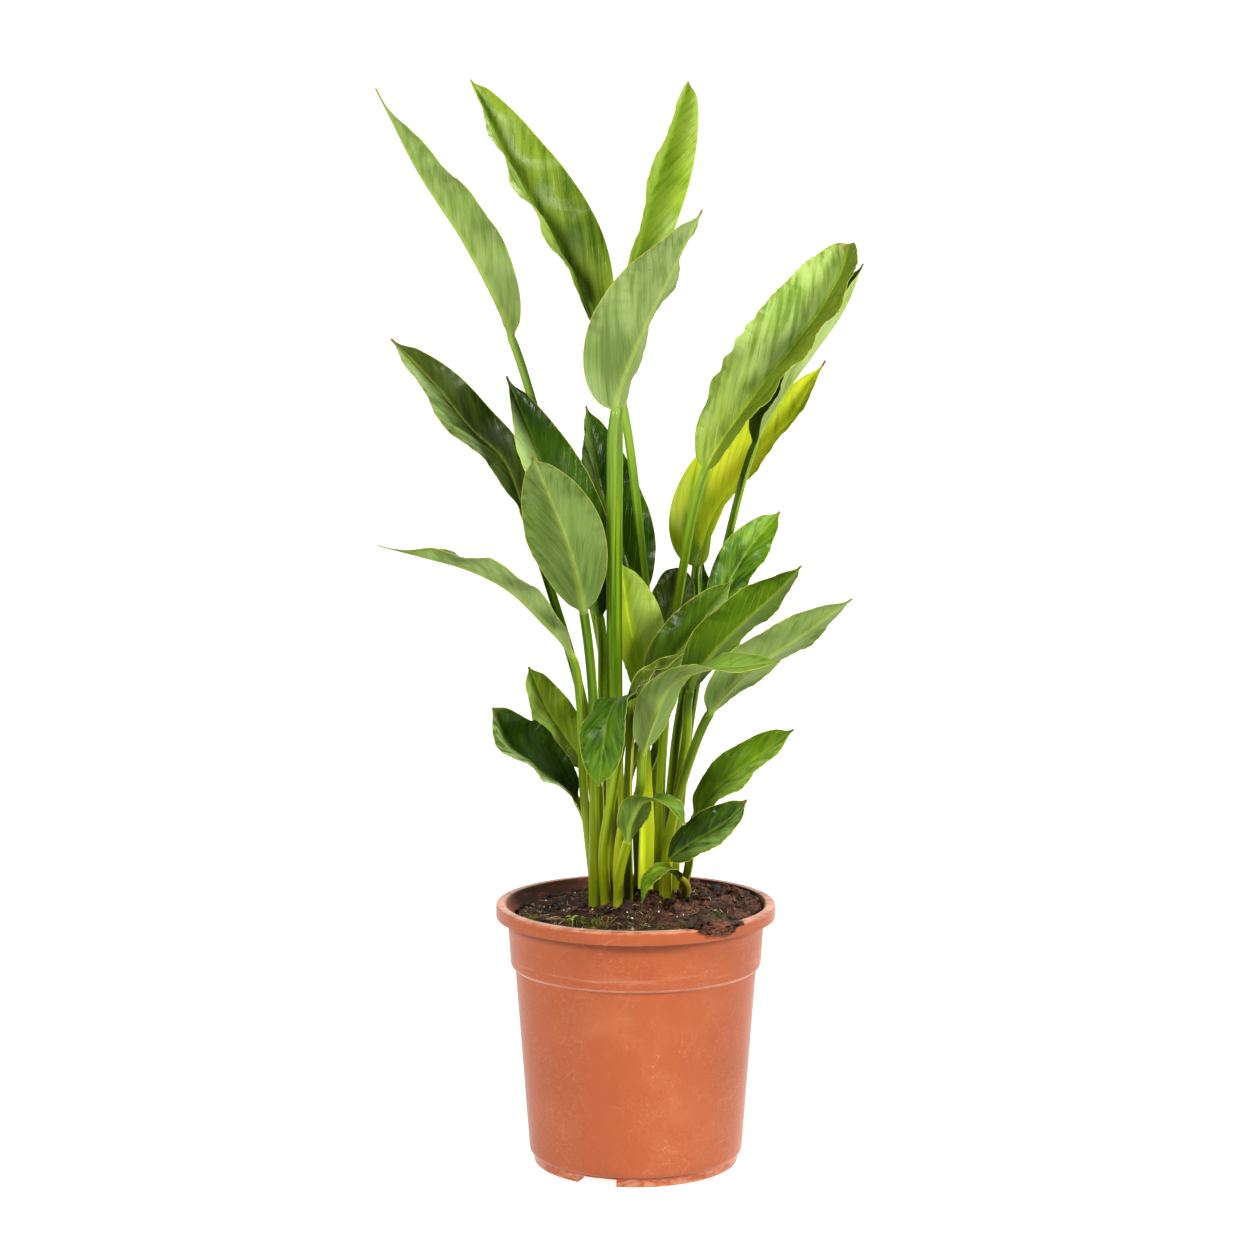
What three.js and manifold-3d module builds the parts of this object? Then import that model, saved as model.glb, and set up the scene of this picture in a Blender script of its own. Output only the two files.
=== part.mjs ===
import * as THREE from 'three';
import { mergeVertices } from 'three/addons/utils/BufferGeometryUtils.js';
import Module from 'manifold-3d';

// A young bird of paradise in its plastic nursery pot, filled with potting soil.
// Millimetres, +Z up. The origin is on the pot's axis, on the surface that the pot stands on,
// and the photograph's side is -Y.

const wasm = await Module();
wasm.setup();

// ---- driving dimensions -------------------------------------------------------------------

const CLEAR = 0.3; // gap between pieces that touch

// pot: a 21 cm nursery pot, one moulded shell
const POT_HEIGHT = 197.3;
const WALL = 2;
const POT_SIDES = 44;
const FOOT = { outer: 77, inner: 65, height: 7.4 };
const FLOOR = { low: 7, top: 9.4 };
const BODY = { low: 80.6, lowZ: 11.8, top: 90.8, topZ: 148.6 };
const COLLAR = { low: 94.3, lowZ: 153.6, top: 96.4, topZ: 187.3 };
const RIM = { outer: 105, inner: 97.6, band: 10, skirt: 2.2, round: 1.6 };
const NOTCHES = [-112.8, 7.2, 127.2]; // degrees from +X; the first shows at the front left
const NOTCH = { width: 32, height: 5.6, slot: 9, slotLength: 26 };

// soil
const SOIL_SIDES = 36;
const SOIL_RINGS = [0, 0.2, 0.4, 0.6, 0.8, 1];
const SOIL_EDGE = 187;
const HOLE_FLOOR = 158;
const HOLE_SIDES = 8;
const HOLE_ROOM = 1.3;
const CLOD = { at: [57, -81, 197.5], size: [23, 14, 6.5] };

// leaves
const BLADE_STATIONS = [0, 0.05, 0.13, 0.23, 0.34, 0.46, 0.58, 0.7, 0.82, 0.92, 1];
const STALK_STEP = 60; // a section of the stalk at least this often
const BLADE_THICK = 0.9;
const SHEATH_HEIGHT = 95; // the stalk widens into its sheath below this height above the soil
const TIP_HALF = 0.7;

const TONES = {
  deep: 0x3f6b1c,
  bright: 0x5f9a25,
  pale: 0x86a45a,
  yellow: 0xa3bf36,
  olive: 0x56701f,
  mid: 0x6f9637,
};

// Every leaf, stalk and blade in one. foot: where it stands in the soil. stalk, blade: the points
// that its middle line passes, the blade from its base to its tip. half: the widest half of the
// blade. face: the way the upper side looks at the base, and at the tip where it turns. fold: how
// far each half is raised, in degrees. sheath: half the width and depth of the stalk at the soil.
const LEAVES = [
  { name: 'leaf_tall_far_left', foot: [-11, 11], sheath: [4.6, 3.2],
    stalk: [[-27, 16, 394], [-71, 26, 550]],
    blade: [[-92, 14, 619], [-122, -14, 683], [-156, -50, 739], [-182, -90, 795]],
    half: 25.5, rise: 0.75, taper: 1.25, face: [[0.7, 0.7, 0.1]], fold: 42, wave: 3, waves: 4.5, tone: 'pale' },
  { name: 'leaf_tall_left', foot: [14, 33], sheath: [4.8, 3.2],
    stalk: [[15, 39, 330], [5, 38, 452], [-10, 33, 569]],
    blade: [[-28, 32, 629], [-54, 38, 680], [-94, 52, 746], [-124, 68, 811]],
    half: 35, rise: 0.6, taper: 0.8, face: [[0.64, -0.74, 0.2]], fold: 43, wave: 3, waves: 4.5, tone: 'bright' },
  { name: 'leaf_tall_middle', foot: [-10.5, 1], sheath: [4.2, 3.2],
    stalk: [[-13, -4, 336], [-13, -8, 515]],
    blade: [[-10, 0, 633], [4, 12, 700], [21, 26, 756], [39, 42, 808]],
    half: 24.5, rise: 0.7, taper: 0.6, face: [[0.75, -0.66, 0.15]], fold: 40, tone: 'yellow' },
  { name: 'leaf_tall_front', foot: [-20, -2], sheath: [4.4, 3.3],
    stalk: [[-18, -20, 339], [-18, -30, 502]],
    blade: [[-15, -38, 568], [6, -54, 626], [25, -74, 666], [46, -98, 711]],
    half: 38, rise: 0.6, taper: 1.1, face: [[-0.62, 0.77, 0.25]], fold: 40, wave: 3.6, waves: 2.6, tone: 'pale' },
  { name: 'leaf_olive_left', foot: [-20, 17], sheath: [4.2, 3],
    stalk: [[-37, 12, 334], [-64, 14, 432]],
    blade: [[-84, 18, 491], [-99, 22, 528], [-124, 27, 552], [-146, 31, 579], [-183, 36, 618]],
    half: 20, rise: 0.85, taper: 0.9, face: [[0.3, -0.85, 0.4]], fold: 28, wave: 2.6, tone: 'olive' },
  { name: 'leaf_dark_left', foot: [-20, 8], sheath: [4.2, 3],
    stalk: [[-22, 4, 289], [-25, 1, 350]],
    blade: [[-27, 0, 412], [-43, 2, 462], [-67, 6, 518], [-96, 16, 591]],
    half: 30, rise: 0.8, taper: 1, face: [[0.5, -0.85, 0]], fold: 36, tone: 'deep' },
  { name: 'leaf_pale_left', foot: [-31, -4], sheath: [4.2, 3],
    stalk: [[-31, -20, 286], [-32, -38, 364]],
    blade: [[-38, -48, 421], [-46, -58, 461], [-59, -72, 500], [-74, -90, 538]],
    half: 28, rise: 0.85, taper: 0.95, face: [[0, 0.92, 0.3]], fold: 12, wave: 1.4, tone: 'pale' },
  { name: 'leaf_long_drooping', foot: [-30.5, 6.5], sheath: [4.2, 3],
    stalk: [[-39, -8, 284], [-41, -32, 352]],
    blade: [[-47, -46, 390], [-69, -64, 418], [-92, -82, 442], [-119, -100, 458], [-152, -114, 469], [-181, -124, 478]],
    half: 14.5, rise: 0.8, taper: 1, face: [[0.4, 0.3, 0.8], [0.1, 0.1, 0.99]], fold: 48, wave: 4.2, waves: 4, tone: 'pale' },
  { name: 'leaf_dark_behind', foot: [-17, 25], sheath: [4, 3],
    stalk: [[-20, 38, 299], [0, 46, 359]],
    blade: [[1, 50, 421], [-8, 54, 451], [-24, 64, 494], [-38, 84, 566]],
    half: 30, rise: 0.75, taper: 0.95, face: [[0.6, -0.8, 0.1]], fold: 30, tone: 'deep' },
  { name: 'leaf_large_right', foot: [18, 14], sheath: [4.8, 3.2],
    stalk: [[20, 14, 303], [33, 14, 432]],
    blade: [[52, 14, 521], [79, 22, 564], [112, 38, 605], [139, 54, 639], [156, 68, 669], [162, 76, 689]],
    half: 37, rise: 0.6, taper: 0.45, face: [[-0.6, -0.75, 0.3]], fold: 34, wave: 2.4, waves: 5, tone: 'bright' },
  { name: 'leaf_dark_right', foot: [28, 27], sheath: [4.2, 3],
    stalk: [[44, 44, 344], [69, 52, 462]],
    blade: [[90, 58, 537], [112, 68, 574], [137, 82, 607], [160, 94, 639], [175, 106, 674]],
    half: 22, rise: 0.7, taper: 0.8, face: [[-0.7, -0.45, 0.5]], fold: 50, wave: 3, waves: 4, tone: 'deep' },
  { name: 'leaf_yellow_right', foot: [22, 38], sheath: [4.4, 3.2],
    stalk: [[36, 62, 342], [46, 74, 410]],
    blade: [[47, 84, 442], [61, 94, 480], [90, 109, 520], [119, 118, 552], [148, 128, 599]],
    half: 37, rise: 0.55, taper: 1.05, face: [[-0.65, -0.7, 0.3]], fold: 40, tone: 'yellow' },
  { name: 'leaf_right_upright', foot: [21, 23], sheath: [4, 3],
    stalk: [[33, 26, 332], [46, 28, 385]],
    blade: [[57, 30, 410], [68, 32, 431], [83, 36, 457], [109, 44, 488]],
    half: 17, rise: 0.8, taper: 0.8, face: [[-0.3, -0.85, 0.3]], fold: 16, tone: 'bright' },
  { name: 'leaf_dark_glossy', foot: [3, 32], sheath: [4, 3],
    stalk: [[3, 33, 269], [18, 25, 320]],
    blade: [[15, 12, 350], [24, 0, 375], [42, 0, 399], [72, 6, 440]],
    half: 21, rise: 0.8, taper: 0.9, face: [[-0.5, -0.8, 0.3]], fold: 34, tone: 'deep' },
  { name: 'leaf_right_middle', foot: [29, 17], sheath: [4.2, 3],
    stalk: [[31, 4, 274], [38, -6, 325]],
    blade: [[40, -16, 359], [56, -29, 388], [80, -43, 415], [103, -54, 438], [119, -66, 458]],
    half: 24, rise: 0.75, taper: 0.9, face: [[-0.4, 0.75, 0.5]], fold: 20, tone: 'mid' },
  { name: 'leaf_right_long', foot: [22, 5], sheath: [4.2, 3],
    stalk: [[26, -10, 254], [41, -28, 313]],
    blade: [[54, -40, 346], [72, -54, 370], [94, -66, 389], [119, -82, 409], [153, -102, 438]],
    half: 21, rise: 0.7, taper: 0.9, face: [[-0.35, 0.8, 0.42]], fold: 22, tone: 'pale' },
  { name: 'leaf_twisted_front', foot: [-13.5, -8], sheath: [4, 3],
    stalk: [[-10, -30, 258], [3, -52, 292]],
    blade: [[5, -59, 320], [15, -66, 351], [27, -79, 373], [48, -92, 385], [75, -102, 389], [102, -108, 394]],
    half: 19, rise: 0.7, taper: 0.75, face: [[-0.3, 0.9, 0.3], [0, -0.55, 0.85]], fold: 18, tone: 'pale' },
  { name: 'leaf_bent_front', foot: [-22.5, -10], sheath: [4, 3],
    stalk: [[-24, -24, 242], [-15, -38, 300], [-9, -50, 342]],
    blade: [[-9, -62, 358], [-14, -76, 361], [-20, -88, 350], [-24, -93, 328], [-27, -94, 302]],
    half: 20, rise: 0.6, taper: 0.75, face: [[0.15, 0.75, 0.65], [-0.3, -0.9, 0.25]], fold: 8, wave: 1, tone: 'mid' },
  { name: 'leaf_small_folded', foot: [-5, -3], sheath: [3.4, 2.6],
    stalk: [[-6, -24, 279], [-4, -42, 331]],
    blade: [[-2, -50, 360], [6, -52, 370], [19, -56, 380], [35, -62, 395]],
    half: 9, rise: 0.5, taper: 0.7, face: [[-0.2, -0.5, 0.85]], fold: 44, tone: 'olive' },
  { name: 'leaf_curled_small', foot: [-13.5, -17], sheath: [3.2, 2.6],
    stalk: [[-12, -26, 223]],
    blade: [[-6, -40, 251], [-2, -48, 269], [6, -54, 283], [17, -58, 285], [29, -60, 278], [36, -58, 267]],
    half: 13, rise: 0.7, taper: 0.7, face: [[-0.2, 0.95, 0.2], [0, -0.5, 0.85]], fold: 16, wave: 1, tone: 'pale' },
  { name: 'leaf_low_right', foot: [37, 22], sheath: [3.4, 2.6],
    stalk: [[40, 16, 220]],
    blade: [[45, 8, 260], [59, 0, 282], [81, -10, 302], [100, -20, 318], [116, -30, 333]],
    half: 17.5, rise: 0.75, taper: 0.8, face: [[-0.4, -0.7, 0.6]], fold: 18, tone: 'bright' },
  { name: 'leaf_lowest_right', foot: [24, -5], sheath: [3.2, 2.6],
    stalk: [[24, -10, 222]],
    blade: [[25, -14, 232], [36, -22, 243], [53, -34, 256], [69, -44, 269], [81, -50, 284]],
    half: 16.5, rise: 0.7, taper: 0.7, face: [[-0.3, -0.75, 0.55]], fold: 16, wave: 1.2, tone: 'deep' },
  { name: 'leaf_folded_low', foot: [37, -9], sheath: [3.2, 2.6],
    stalk: [[37, -20, 215]],
    blade: [[33, -27, 222], [24, -33, 228], [13, -40, 223], [4, -45, 206]],
    half: 12, rise: 0.6, taper: 0.7, face: [[0.3, 0, 0.95], [-0.85, -0.2, 0.5]], fold: 14, wave: 0.8, tone: 'mid' },
  { name: 'leaf_folded_left', foot: [-28, 25], sheath: [3.6, 2.8],
    stalk: [[-30, 28, 247]],
    blade: [[-36, 30, 291], [-53, 32, 317], [-68, 32, 340], [-81, 34, 371]],
    half: 18, rise: 0.75, taper: 0.75, face: [[0.4, -0.8, 0.4]], fold: 18, tone: 'olive' },
  { name: 'leaf_cupped_left', foot: [-30, 16], sheath: [3.6, 2.8],
    stalk: [[-34, 12, 244]],
    blade: [[-44, 2, 274], [-60, -8, 290], [-80, -20, 306], [-96, -32, 324], [-105, -42, 351]],
    half: 29, rise: 0.8, taper: 0.6, face: [[0.15, -0.65, 0.75]], fold: 40, tone: 'deep' },
  { name: 'leaf_young_centre', foot: [8, 22.3], sheath: [7.4, 4.2],
    stalk: [[8, 20, 271], [5, 20, 332]],
    blade: [[4, 20, 355], [-1, 20, 389], [-7, 20, 421], [-11, 22, 451]],
    half: 24, rise: 0.8, taper: 0.8, face: [[0.5, -0.86, 0]], fold: 30, tone: 'yellow', stalkHalf: 4.4 },
  { name: 'leaf_split_tip', foot: [-6, 21], sheath: [4.6, 3.2],
    stalk: [[-9, 39, 268], [11, 50, 336]],
    blade: [[19, 57, 376], [24, 60, 397], [29, 64, 420], [32, 68, 443]],
    half: 18, rise: 0.5, taper: 0.45, face: [[0, -0.95, 0.2]], fold: 18, tone: 'olive' },
  { name: 'leaf_hidden_back', foot: [9, 42], sheath: [3.4, 2.6],
    stalk: [[36, 76, 308]],
    blade: [[47, 86, 385], [49, 90, 404], [51, 94, 425], [52, 98, 447]],
    half: 11, face: [[0, -0.95, 0.2]], fold: 20, tone: 'deep' },
];

// ---- solids ---------------------------------------------------------------------------------

const radians = THREE.MathUtils.degToRad;
const mix = THREE.MathUtils.lerp;
const smooth = THREE.MathUtils.smoothstep;

function toSolid(geometry) {
  const bare = geometry.clone();
  bare.deleteAttribute('normal');
  bare.deleteAttribute('uv');
  const merged = mergeVertices(bare, 1e-4);
  return new wasm.Manifold(new wasm.Mesh({
    numProp: 3,
    vertProperties: new Float32Array(merged.attributes.position.array),
    triVerts: new Uint32Array(merged.index.array),
  }));
}

function toGeometry(solid) {
  const mesh = solid.getMesh();
  const geometry = new THREE.BufferGeometry();
  geometry.setAttribute('position', new THREE.BufferAttribute(new Float32Array(mesh.vertProperties), 3));
  geometry.setIndex(new THREE.BufferAttribute(new Uint32Array(mesh.triVerts), 1));
  geometry.computeVertexNormals();
  return geometry;
}

// a closed body through rings of points, with a flat cap at each end; splitsForward(k) tells which
// of a ring's sides are split the one way and which the other
function loft(rings, splitsForward) {
  const count = rings[0].length;
  const positions = rings.flat().flatMap((p) => [p.x, p.y, p.z]);
  const index = [];
  for (let i = 0; i + 1 < rings.length; i += 1) {
    for (let k = 0; k < count; k += 1) {
      const a = i * count + k;
      const b = i * count + ((k + 1) % count);
      const c = a + count;
      const d = b + count;
      if (splitsForward(k)) index.push(a, b, d, a, d, c);
      else index.push(a, b, c, b, d, c);
    }
  }
  const last = (rings.length - 1) * count;
  for (const [a, b] of capPairs(count)) {
    index.push(a[0], b, a[1]);
    index.push(last + a[0], last + a[1], last + b);
  }
  const geometry = new THREE.BufferGeometry();
  geometry.setAttribute('position', new THREE.Float32BufferAttribute(positions, 3));
  geometry.setIndex(index);
  geometry.computeVertexNormals();
  return geometry;
}

// the triangles of a cap, zigzag between the two rows of a thin ring
function capPairs(count) {
  const pairs = [];
  let low = 0;
  let high = count - 1;
  while (high - low > 1) {
    pairs.push([[low, low + 1], high]);
    low += 1;
    if (high - low > 1) {
      pairs.push([[high - 1, high], low]);
      high -= 1;
    }
  }
  return pairs;
}

function lathe(profile, sides) {
  const geometry = new THREE.LatheGeometry(profile.map(([r, z]) => new THREE.Vector2(r, z)), sides);
  geometry.rotateX(Math.PI / 2);
  return geometry;
}

// ---- pot ------------------------------------------------------------------------------------

function potProfile() {
  const band = POT_HEIGHT - RIM.band;
  const groove = RIM.outer - RIM.skirt;
  return [
    [0, FLOOR.low], [FOOT.inner, FLOOR.low], [FOOT.inner + 1, 0], [FOOT.outer, 0], [FOOT.outer, FOOT.height],
    [FOOT.outer + 1.6, FOOT.height + 0.2], [BODY.low, BODY.lowZ], [BODY.top, BODY.topZ],
    [mix(BODY.top, COLLAR.low, 0.7), mix(BODY.topZ, COLLAR.lowZ, 0.45)], [COLLAR.low, COLLAR.lowZ],
    [COLLAR.top, band], [RIM.inner + WALL, band + 5], [RIM.inner + WALL, band + 7.4], [groove, band + 7.4],
    [groove, band],
    [RIM.outer - 0.5, band], [RIM.outer, band + 0.8], [RIM.outer, POT_HEIGHT - RIM.round],
    [RIM.outer - RIM.round, POT_HEIGHT], [RIM.inner + 0.8, POT_HEIGHT], [RIM.inner, POT_HEIGHT - 0.8],
    [RIM.inner - 0.4, band + 4], [COLLAR.top - WALL, band], [COLLAR.low - WALL, COLLAR.lowZ + 1],
    [BODY.top - WALL, BODY.topZ - 1], [BODY.low - WALL, BODY.lowZ + 2], [BODY.low - 6, FLOOR.top], [0, FLOOR.top],
  ];
}

// a notch through the foot ring, one side upright and one slanted, and a drain slot in the floor
function notchCutter(degrees) {
  const { width, height, slot, slotLength } = NOTCH;
  const outline = new THREE.Shape([
    [-width / 2, -2], [width / 2, -2], [width / 2 - 3, height], [-width / 2, height],
  ].map(([x, z]) => new THREE.Vector2(x, z)));
  const gap = new THREE.ExtrudeGeometry(outline, { depth: 26, bevelEnabled: false });
  gap.rotateX(Math.PI / 2);
  gap.translate(0, FOOT.inner + 20, 0);
  const drain = new THREE.BoxGeometry(slotLength, slot, 8);
  drain.translate(0, FOOT.inner - slot, FLOOR.top - 1);
  return [gap, drain].map((geometry) => geometry.rotateZ(radians(degrees - 90)));
}

function buildPot() {
  let solid = toSolid(lathe(potProfile(), POT_SIDES));
  for (const degrees of NOTCHES) {
    for (const cutter of notchCutter(degrees)) solid = solid.subtract(toSolid(cutter));
  }
  return toGeometry(solid);
}

// ---- soil -----------------------------------------------------------------------------------

const bell = (x, y, cx, cy, spread) => Math.exp(-((x - cx) ** 2 + (y - cy) ** 2) / (2 * spread ** 2));

// the soil's surface: mounded round the stalks and to the right, low at the left and the back left
function soilHeight(x, y) {
  const mound = 12 * bell(x, y, 4, 12, 42);
  const right = 9 * bell(x, y, 68, 20, 36) + 6 * bell(x, y, 36, -66, 34);
  const low = -3 * bell(x, y, -66, 30, 34);
  const lumps = 0.9 * Math.sin(x / 7.3 + 1) * Math.cos(y / 6.1) + 0.6 * Math.sin((x + 1.7 * y) / 4.9);
  return SOIL_EDGE + mound + right + low + lumps;
}

const soilRadius = (z) => Math.min(
  mix(BODY.low, BODY.top, (z - BODY.lowZ - 2) / (BODY.topZ - BODY.lowZ - 3)) - WALL,
  COLLAR.top - WALL,
) - CLEAR - 0.3;

function buildBed() {
  const ring = (radius, height) => Array.from({ length: SOIL_SIDES }, (_, i) => {
    const angle = (i / SOIL_SIDES) * 2 * Math.PI;
    const x = radius * Math.cos(angle);
    const y = radius * Math.sin(angle);
    return new THREE.Vector3(x, y, height ?? soilHeight(x, y));
  });
  const rings = [
    ring(1.5, FLOOR.top + CLEAR), ring(BODY.low - 6.5, FLOOR.top + CLEAR),
    ring(soilRadius(BODY.lowZ + 3), BODY.lowZ + 3), ring(soilRadius(BODY.topZ - 2), BODY.topZ - 2),
    ...SOIL_RINGS.slice(1).reverse().map((part) => ring(part * (COLLAR.low - WALL - 1))),
    ring(1.5),
  ];
  return loft(rings, () => true);
}

function buildClod() {
  const lump = new THREE.IcosahedronGeometry(1, 2);
  const { position } = lump.attributes;
  for (let i = 0; i < position.count; i += 1) {
    const p = new THREE.Vector3().fromBufferAttribute(position, i);
    const bump = 1 + 0.13 * Math.sin(5 * p.x + 2) * Math.cos(4 * p.y) + 0.08 * Math.sin(9 * p.z + 3 * p.x);
    p.multiplyScalar(bump).multiply(new THREE.Vector3(...CLOD.size));
    position.setXYZ(i, p.x, p.y, p.z);
  }
  lump.rotateZ(radians(32)).translate(...CLOD.at);
  return lump;
}

function holeFor(leaf) {
  const [across, deep] = leaf.sheath.map((half) => (half + HOLE_ROOM) / Math.cos(Math.PI / HOLE_SIDES));
  const hole = new THREE.CylinderGeometry(1, 1, 80, HOLE_SIDES);
  hole.rotateX(Math.PI / 2).rotateZ(Math.PI / HOLE_SIDES).scale(across, deep, 1);
  const { side } = frameAt(new THREE.Vector3(0, 0, 1), leaf, 0);
  hole.rotateZ(Math.atan2(side.y, side.x)).translate(...leaf.foot, HOLE_FLOOR + 40);
  return hole;
}

function buildSoil() {
  let solid = toSolid(buildBed()).add(toSolid(buildClod()));
  const rimSpace = [
    [BODY.top, 140], [RIM.outer + 8, 140], [RIM.outer + 8, POT_HEIGHT - 3], [RIM.outer + 2, POT_HEIGHT - 1],
    [RIM.outer - 1, POT_HEIGHT + CLEAR], [RIM.inner + 0.6, POT_HEIGHT + CLEAR], [RIM.inner - CLEAR, POT_HEIGHT - 0.8],
    [COLLAR.top - WALL - CLEAR, POT_HEIGHT - RIM.band], [COLLAR.low - WALL - CLEAR, COLLAR.lowZ + 1],
  ];
  solid = solid.subtract(toSolid(lathe([...rimSpace, rimSpace[0]], POT_SIDES)));
  for (const leaf of LEAVES) solid = solid.subtract(toSolid(holeFor(leaf)));
  return toGeometry(solid);
}

// ---- leaves ---------------------------------------------------------------------------------

// the directions of a section: along, up out of the upper side, and to the right half
function frameAt(along, leaf, turn) {
  const base = new THREE.Vector3(...leaf.face[0]);
  const tip = new THREE.Vector3(...leaf.face[leaf.face.length - 1]);
  const face = base.lerp(tip, turn);
  const up = face.addScaledVector(along, -face.dot(along)).normalize();
  return { along, up, side: new THREE.Vector3().crossVectors(along, up) };
}

// half the blade's width at s, from 0 at its base to 1 at its tip
function halfWidth(leaf, s) {
  const { rise = 0.6, taper = 0.95 } = leaf;
  const peak = rise / (rise + taper);
  const swell = (s / peak) ** rise * ((1 - s) / (1 - peak)) ** taper;
  return Math.max(TIP_HALF, leaf.half * swell);
}

// one section of a leaf: five points over its upper side, seven round its lower side
function section({ centre, up, side }, across, deep, half, fold, ripple) {
  const flat = smooth(half, 0.8, 9);
  const sag = mix(0.78, 0.3, smooth(deep, 0.8, 2.4));
  const point = (b, n) => centre.clone().addScaledVector(side, b).addScaledVector(up, n);
  const wing = (sign, part) => {
    const inner = fold + 0.16;
    const outer = fold - 0.16;
    const reach = half * part;
    const bend = Math.max(0, part - 0.5) * half;
    const b = (reach - bend) * Math.cos(inner) + bend * Math.cos(outer);
    const n = (reach - bend) * Math.sin(inner) + bend * Math.sin(outer);
    const wave = ripple(sign) * part * part;
    return [across * 0.92 + b - wave * Math.sin(fold), deep * 0.45 + n + wave * Math.cos(fold)];
  };
  const thick = [-Math.sin(fold) * BLADE_THICK, Math.cos(fold) * BLADE_THICK];
  const top = (sign) => {
    const [eb, en] = wing(sign, 1);
    const [mb, mn] = wing(sign, 0.5);
    return { edge: [eb, en], middle: [mix(across * 0.5, mb, flat), mix(deep * 0.12, mn, flat)] };
  };
  const below = (sign) => {
    const [eb, en] = wing(sign, 1);
    const [mb, mn] = wing(sign, 0.5);
    return {
      edge: [eb - thick[0], en - thick[1]],
      middle: [mix(across * 1.05, mb - thick[0], flat), mix(-deep * sag, mn - thick[1], flat)],
      core: [across * 0.62, -deep * 0.8],
    };
  };
  const [leftTop, rightTop] = [top(-1), top(1)];
  const [leftBelow, rightBelow] = [below(-1), below(1)];
  const left = ([b, n]) => point(-b, n);
  const right = ([b, n]) => point(b, n);
  return [
    left(leftTop.edge), left(leftTop.middle), point(0, mix(-deep * 0.05, deep * 0.2, flat)),
    right(rightTop.middle), right(rightTop.edge),
    right(rightBelow.edge), right(rightBelow.middle), right(rightBelow.core), point(0, -deep),
    left(leftBelow.core), left(leftBelow.middle), left(leftBelow.edge),
  ];
}

function buildLeaf(leaf) {
  const { stalkHalf = 3.3, wave = 2.2, waves = 2.5 } = leaf;
  const ground = soilHeight(...leaf.foot) + 4;
  const points = [[...leaf.foot, ground], ...leaf.stalk, ...leaf.blade].map((p) => new THREE.Vector3(...p));
  const curve = new THREE.CatmullRomCurve3(points, false, 'centripetal');
  const lengths = curve.getLengths(600);
  const total = lengths[600];
  const stalkLength = lengths[Math.round((600 * (1 + leaf.stalk.length)) / (points.length - 1))];
  const upright = new THREE.Vector3(0, 0, 1);
  const fold = radians(leaf.fold);
  const phase = leaf.foot[0] + leaf.foot[1];
  const stalkSection = (centre, along, rise) => {
    const widen = 1 - smooth(rise, 0, Math.min(SHEATH_HEIGHT, 0.7 * stalkLength));
    const across = mix(stalkHalf, leaf.sheath[0], widen);
    const deep = mix(stalkHalf * 0.92, leaf.sheath[1], widen);
    return section({ centre, ...frameAt(along, leaf, 0) }, across, deep, TIP_HALF, fold, () => 0);
  };
  const rings = [
    stalkSection(new THREE.Vector3(...leaf.foot, HOLE_FLOOR + CLEAR), upright, 0),
    stalkSection(points[0].clone(), upright, 0),
  ];
  const steps = Math.max(2, Math.ceil(stalkLength / STALK_STEP));
  for (let i = 1; i < steps; i += 1) {
    const at = (stalkLength * i) / steps;
    rings.push(stalkSection(curve.getPointAt(at / total), curve.getTangentAt(at / total), at));
  }
  for (const s of BLADE_STATIONS) {
    const u = mix(stalkLength, total, s) / total;
    const along = curve.getTangentAt(u);
    const rib = mix(stalkHalf, 0.75, Math.sqrt(s));
    const ripple = (sign) => wave * Math.sin(2 * Math.PI * waves * s + phase + sign) * Math.sin(Math.PI * s);
    const frame = { centre: curve.getPointAt(u), ...frameAt(along, leaf, s) };
    rings.push(section(frame, rib, rib * 0.92, halfWidth(leaf, s), fold * smooth(s, -0.1, 0.12), ripple));
  }
  return loft(rings, (k) => k < 5);
}

// ---- the plant ------------------------------------------------------------------------------

function named(name, geometry, color, roughness) {
  const mesh = new THREE.Mesh(geometry, new THREE.MeshStandardMaterial({ color, roughness, metalness: 0 }));
  mesh.name = name;
  return mesh;
}

const plant = new THREE.Group();
plant.add(named('pot', buildPot(), 0xc96b43, 0.55));
plant.add(named('soil', buildSoil(), 0x33241b, 0.95));
for (const leaf of LEAVES) plant.add(named(leaf.name, buildLeaf(leaf), TONES[leaf.tone], 0.4));

export default plant;
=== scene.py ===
import math
import random
from dataclasses import dataclass

import bmesh
import bpy
import numpy as np
from mathutils import Matrix, Vector, noise


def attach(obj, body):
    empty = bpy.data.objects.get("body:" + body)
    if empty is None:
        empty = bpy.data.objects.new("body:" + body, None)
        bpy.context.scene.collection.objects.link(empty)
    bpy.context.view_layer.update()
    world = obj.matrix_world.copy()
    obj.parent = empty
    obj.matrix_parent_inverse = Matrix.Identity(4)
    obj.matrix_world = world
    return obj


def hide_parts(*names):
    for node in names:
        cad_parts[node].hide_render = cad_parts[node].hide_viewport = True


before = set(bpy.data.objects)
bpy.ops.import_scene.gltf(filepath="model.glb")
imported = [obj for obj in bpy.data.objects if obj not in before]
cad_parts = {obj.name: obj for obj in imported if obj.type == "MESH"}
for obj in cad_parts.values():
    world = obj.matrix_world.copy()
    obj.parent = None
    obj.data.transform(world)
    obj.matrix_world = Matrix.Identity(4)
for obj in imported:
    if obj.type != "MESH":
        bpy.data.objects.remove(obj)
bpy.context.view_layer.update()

# A young bird of paradise in a plastic nursery pot. Sizes are written in millimetres and built
# in metres, with the origin on the pot's axis and the photograph's side at -Y.

MM = 0.001
rng = random.Random(7)


def colour(red, green, blue):
    """A colour written as it looks on screen, as the shaders want it."""
    def lin(c):
        c /= 255
        return c / 12.92 if c <= 0.04045 else ((c + 0.055) / 1.055) ** 2.4
    return (lin(red), lin(green), lin(blue), 1.0)


# ---- finishes: shader maths written as expressions -------------------------------------------


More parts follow.
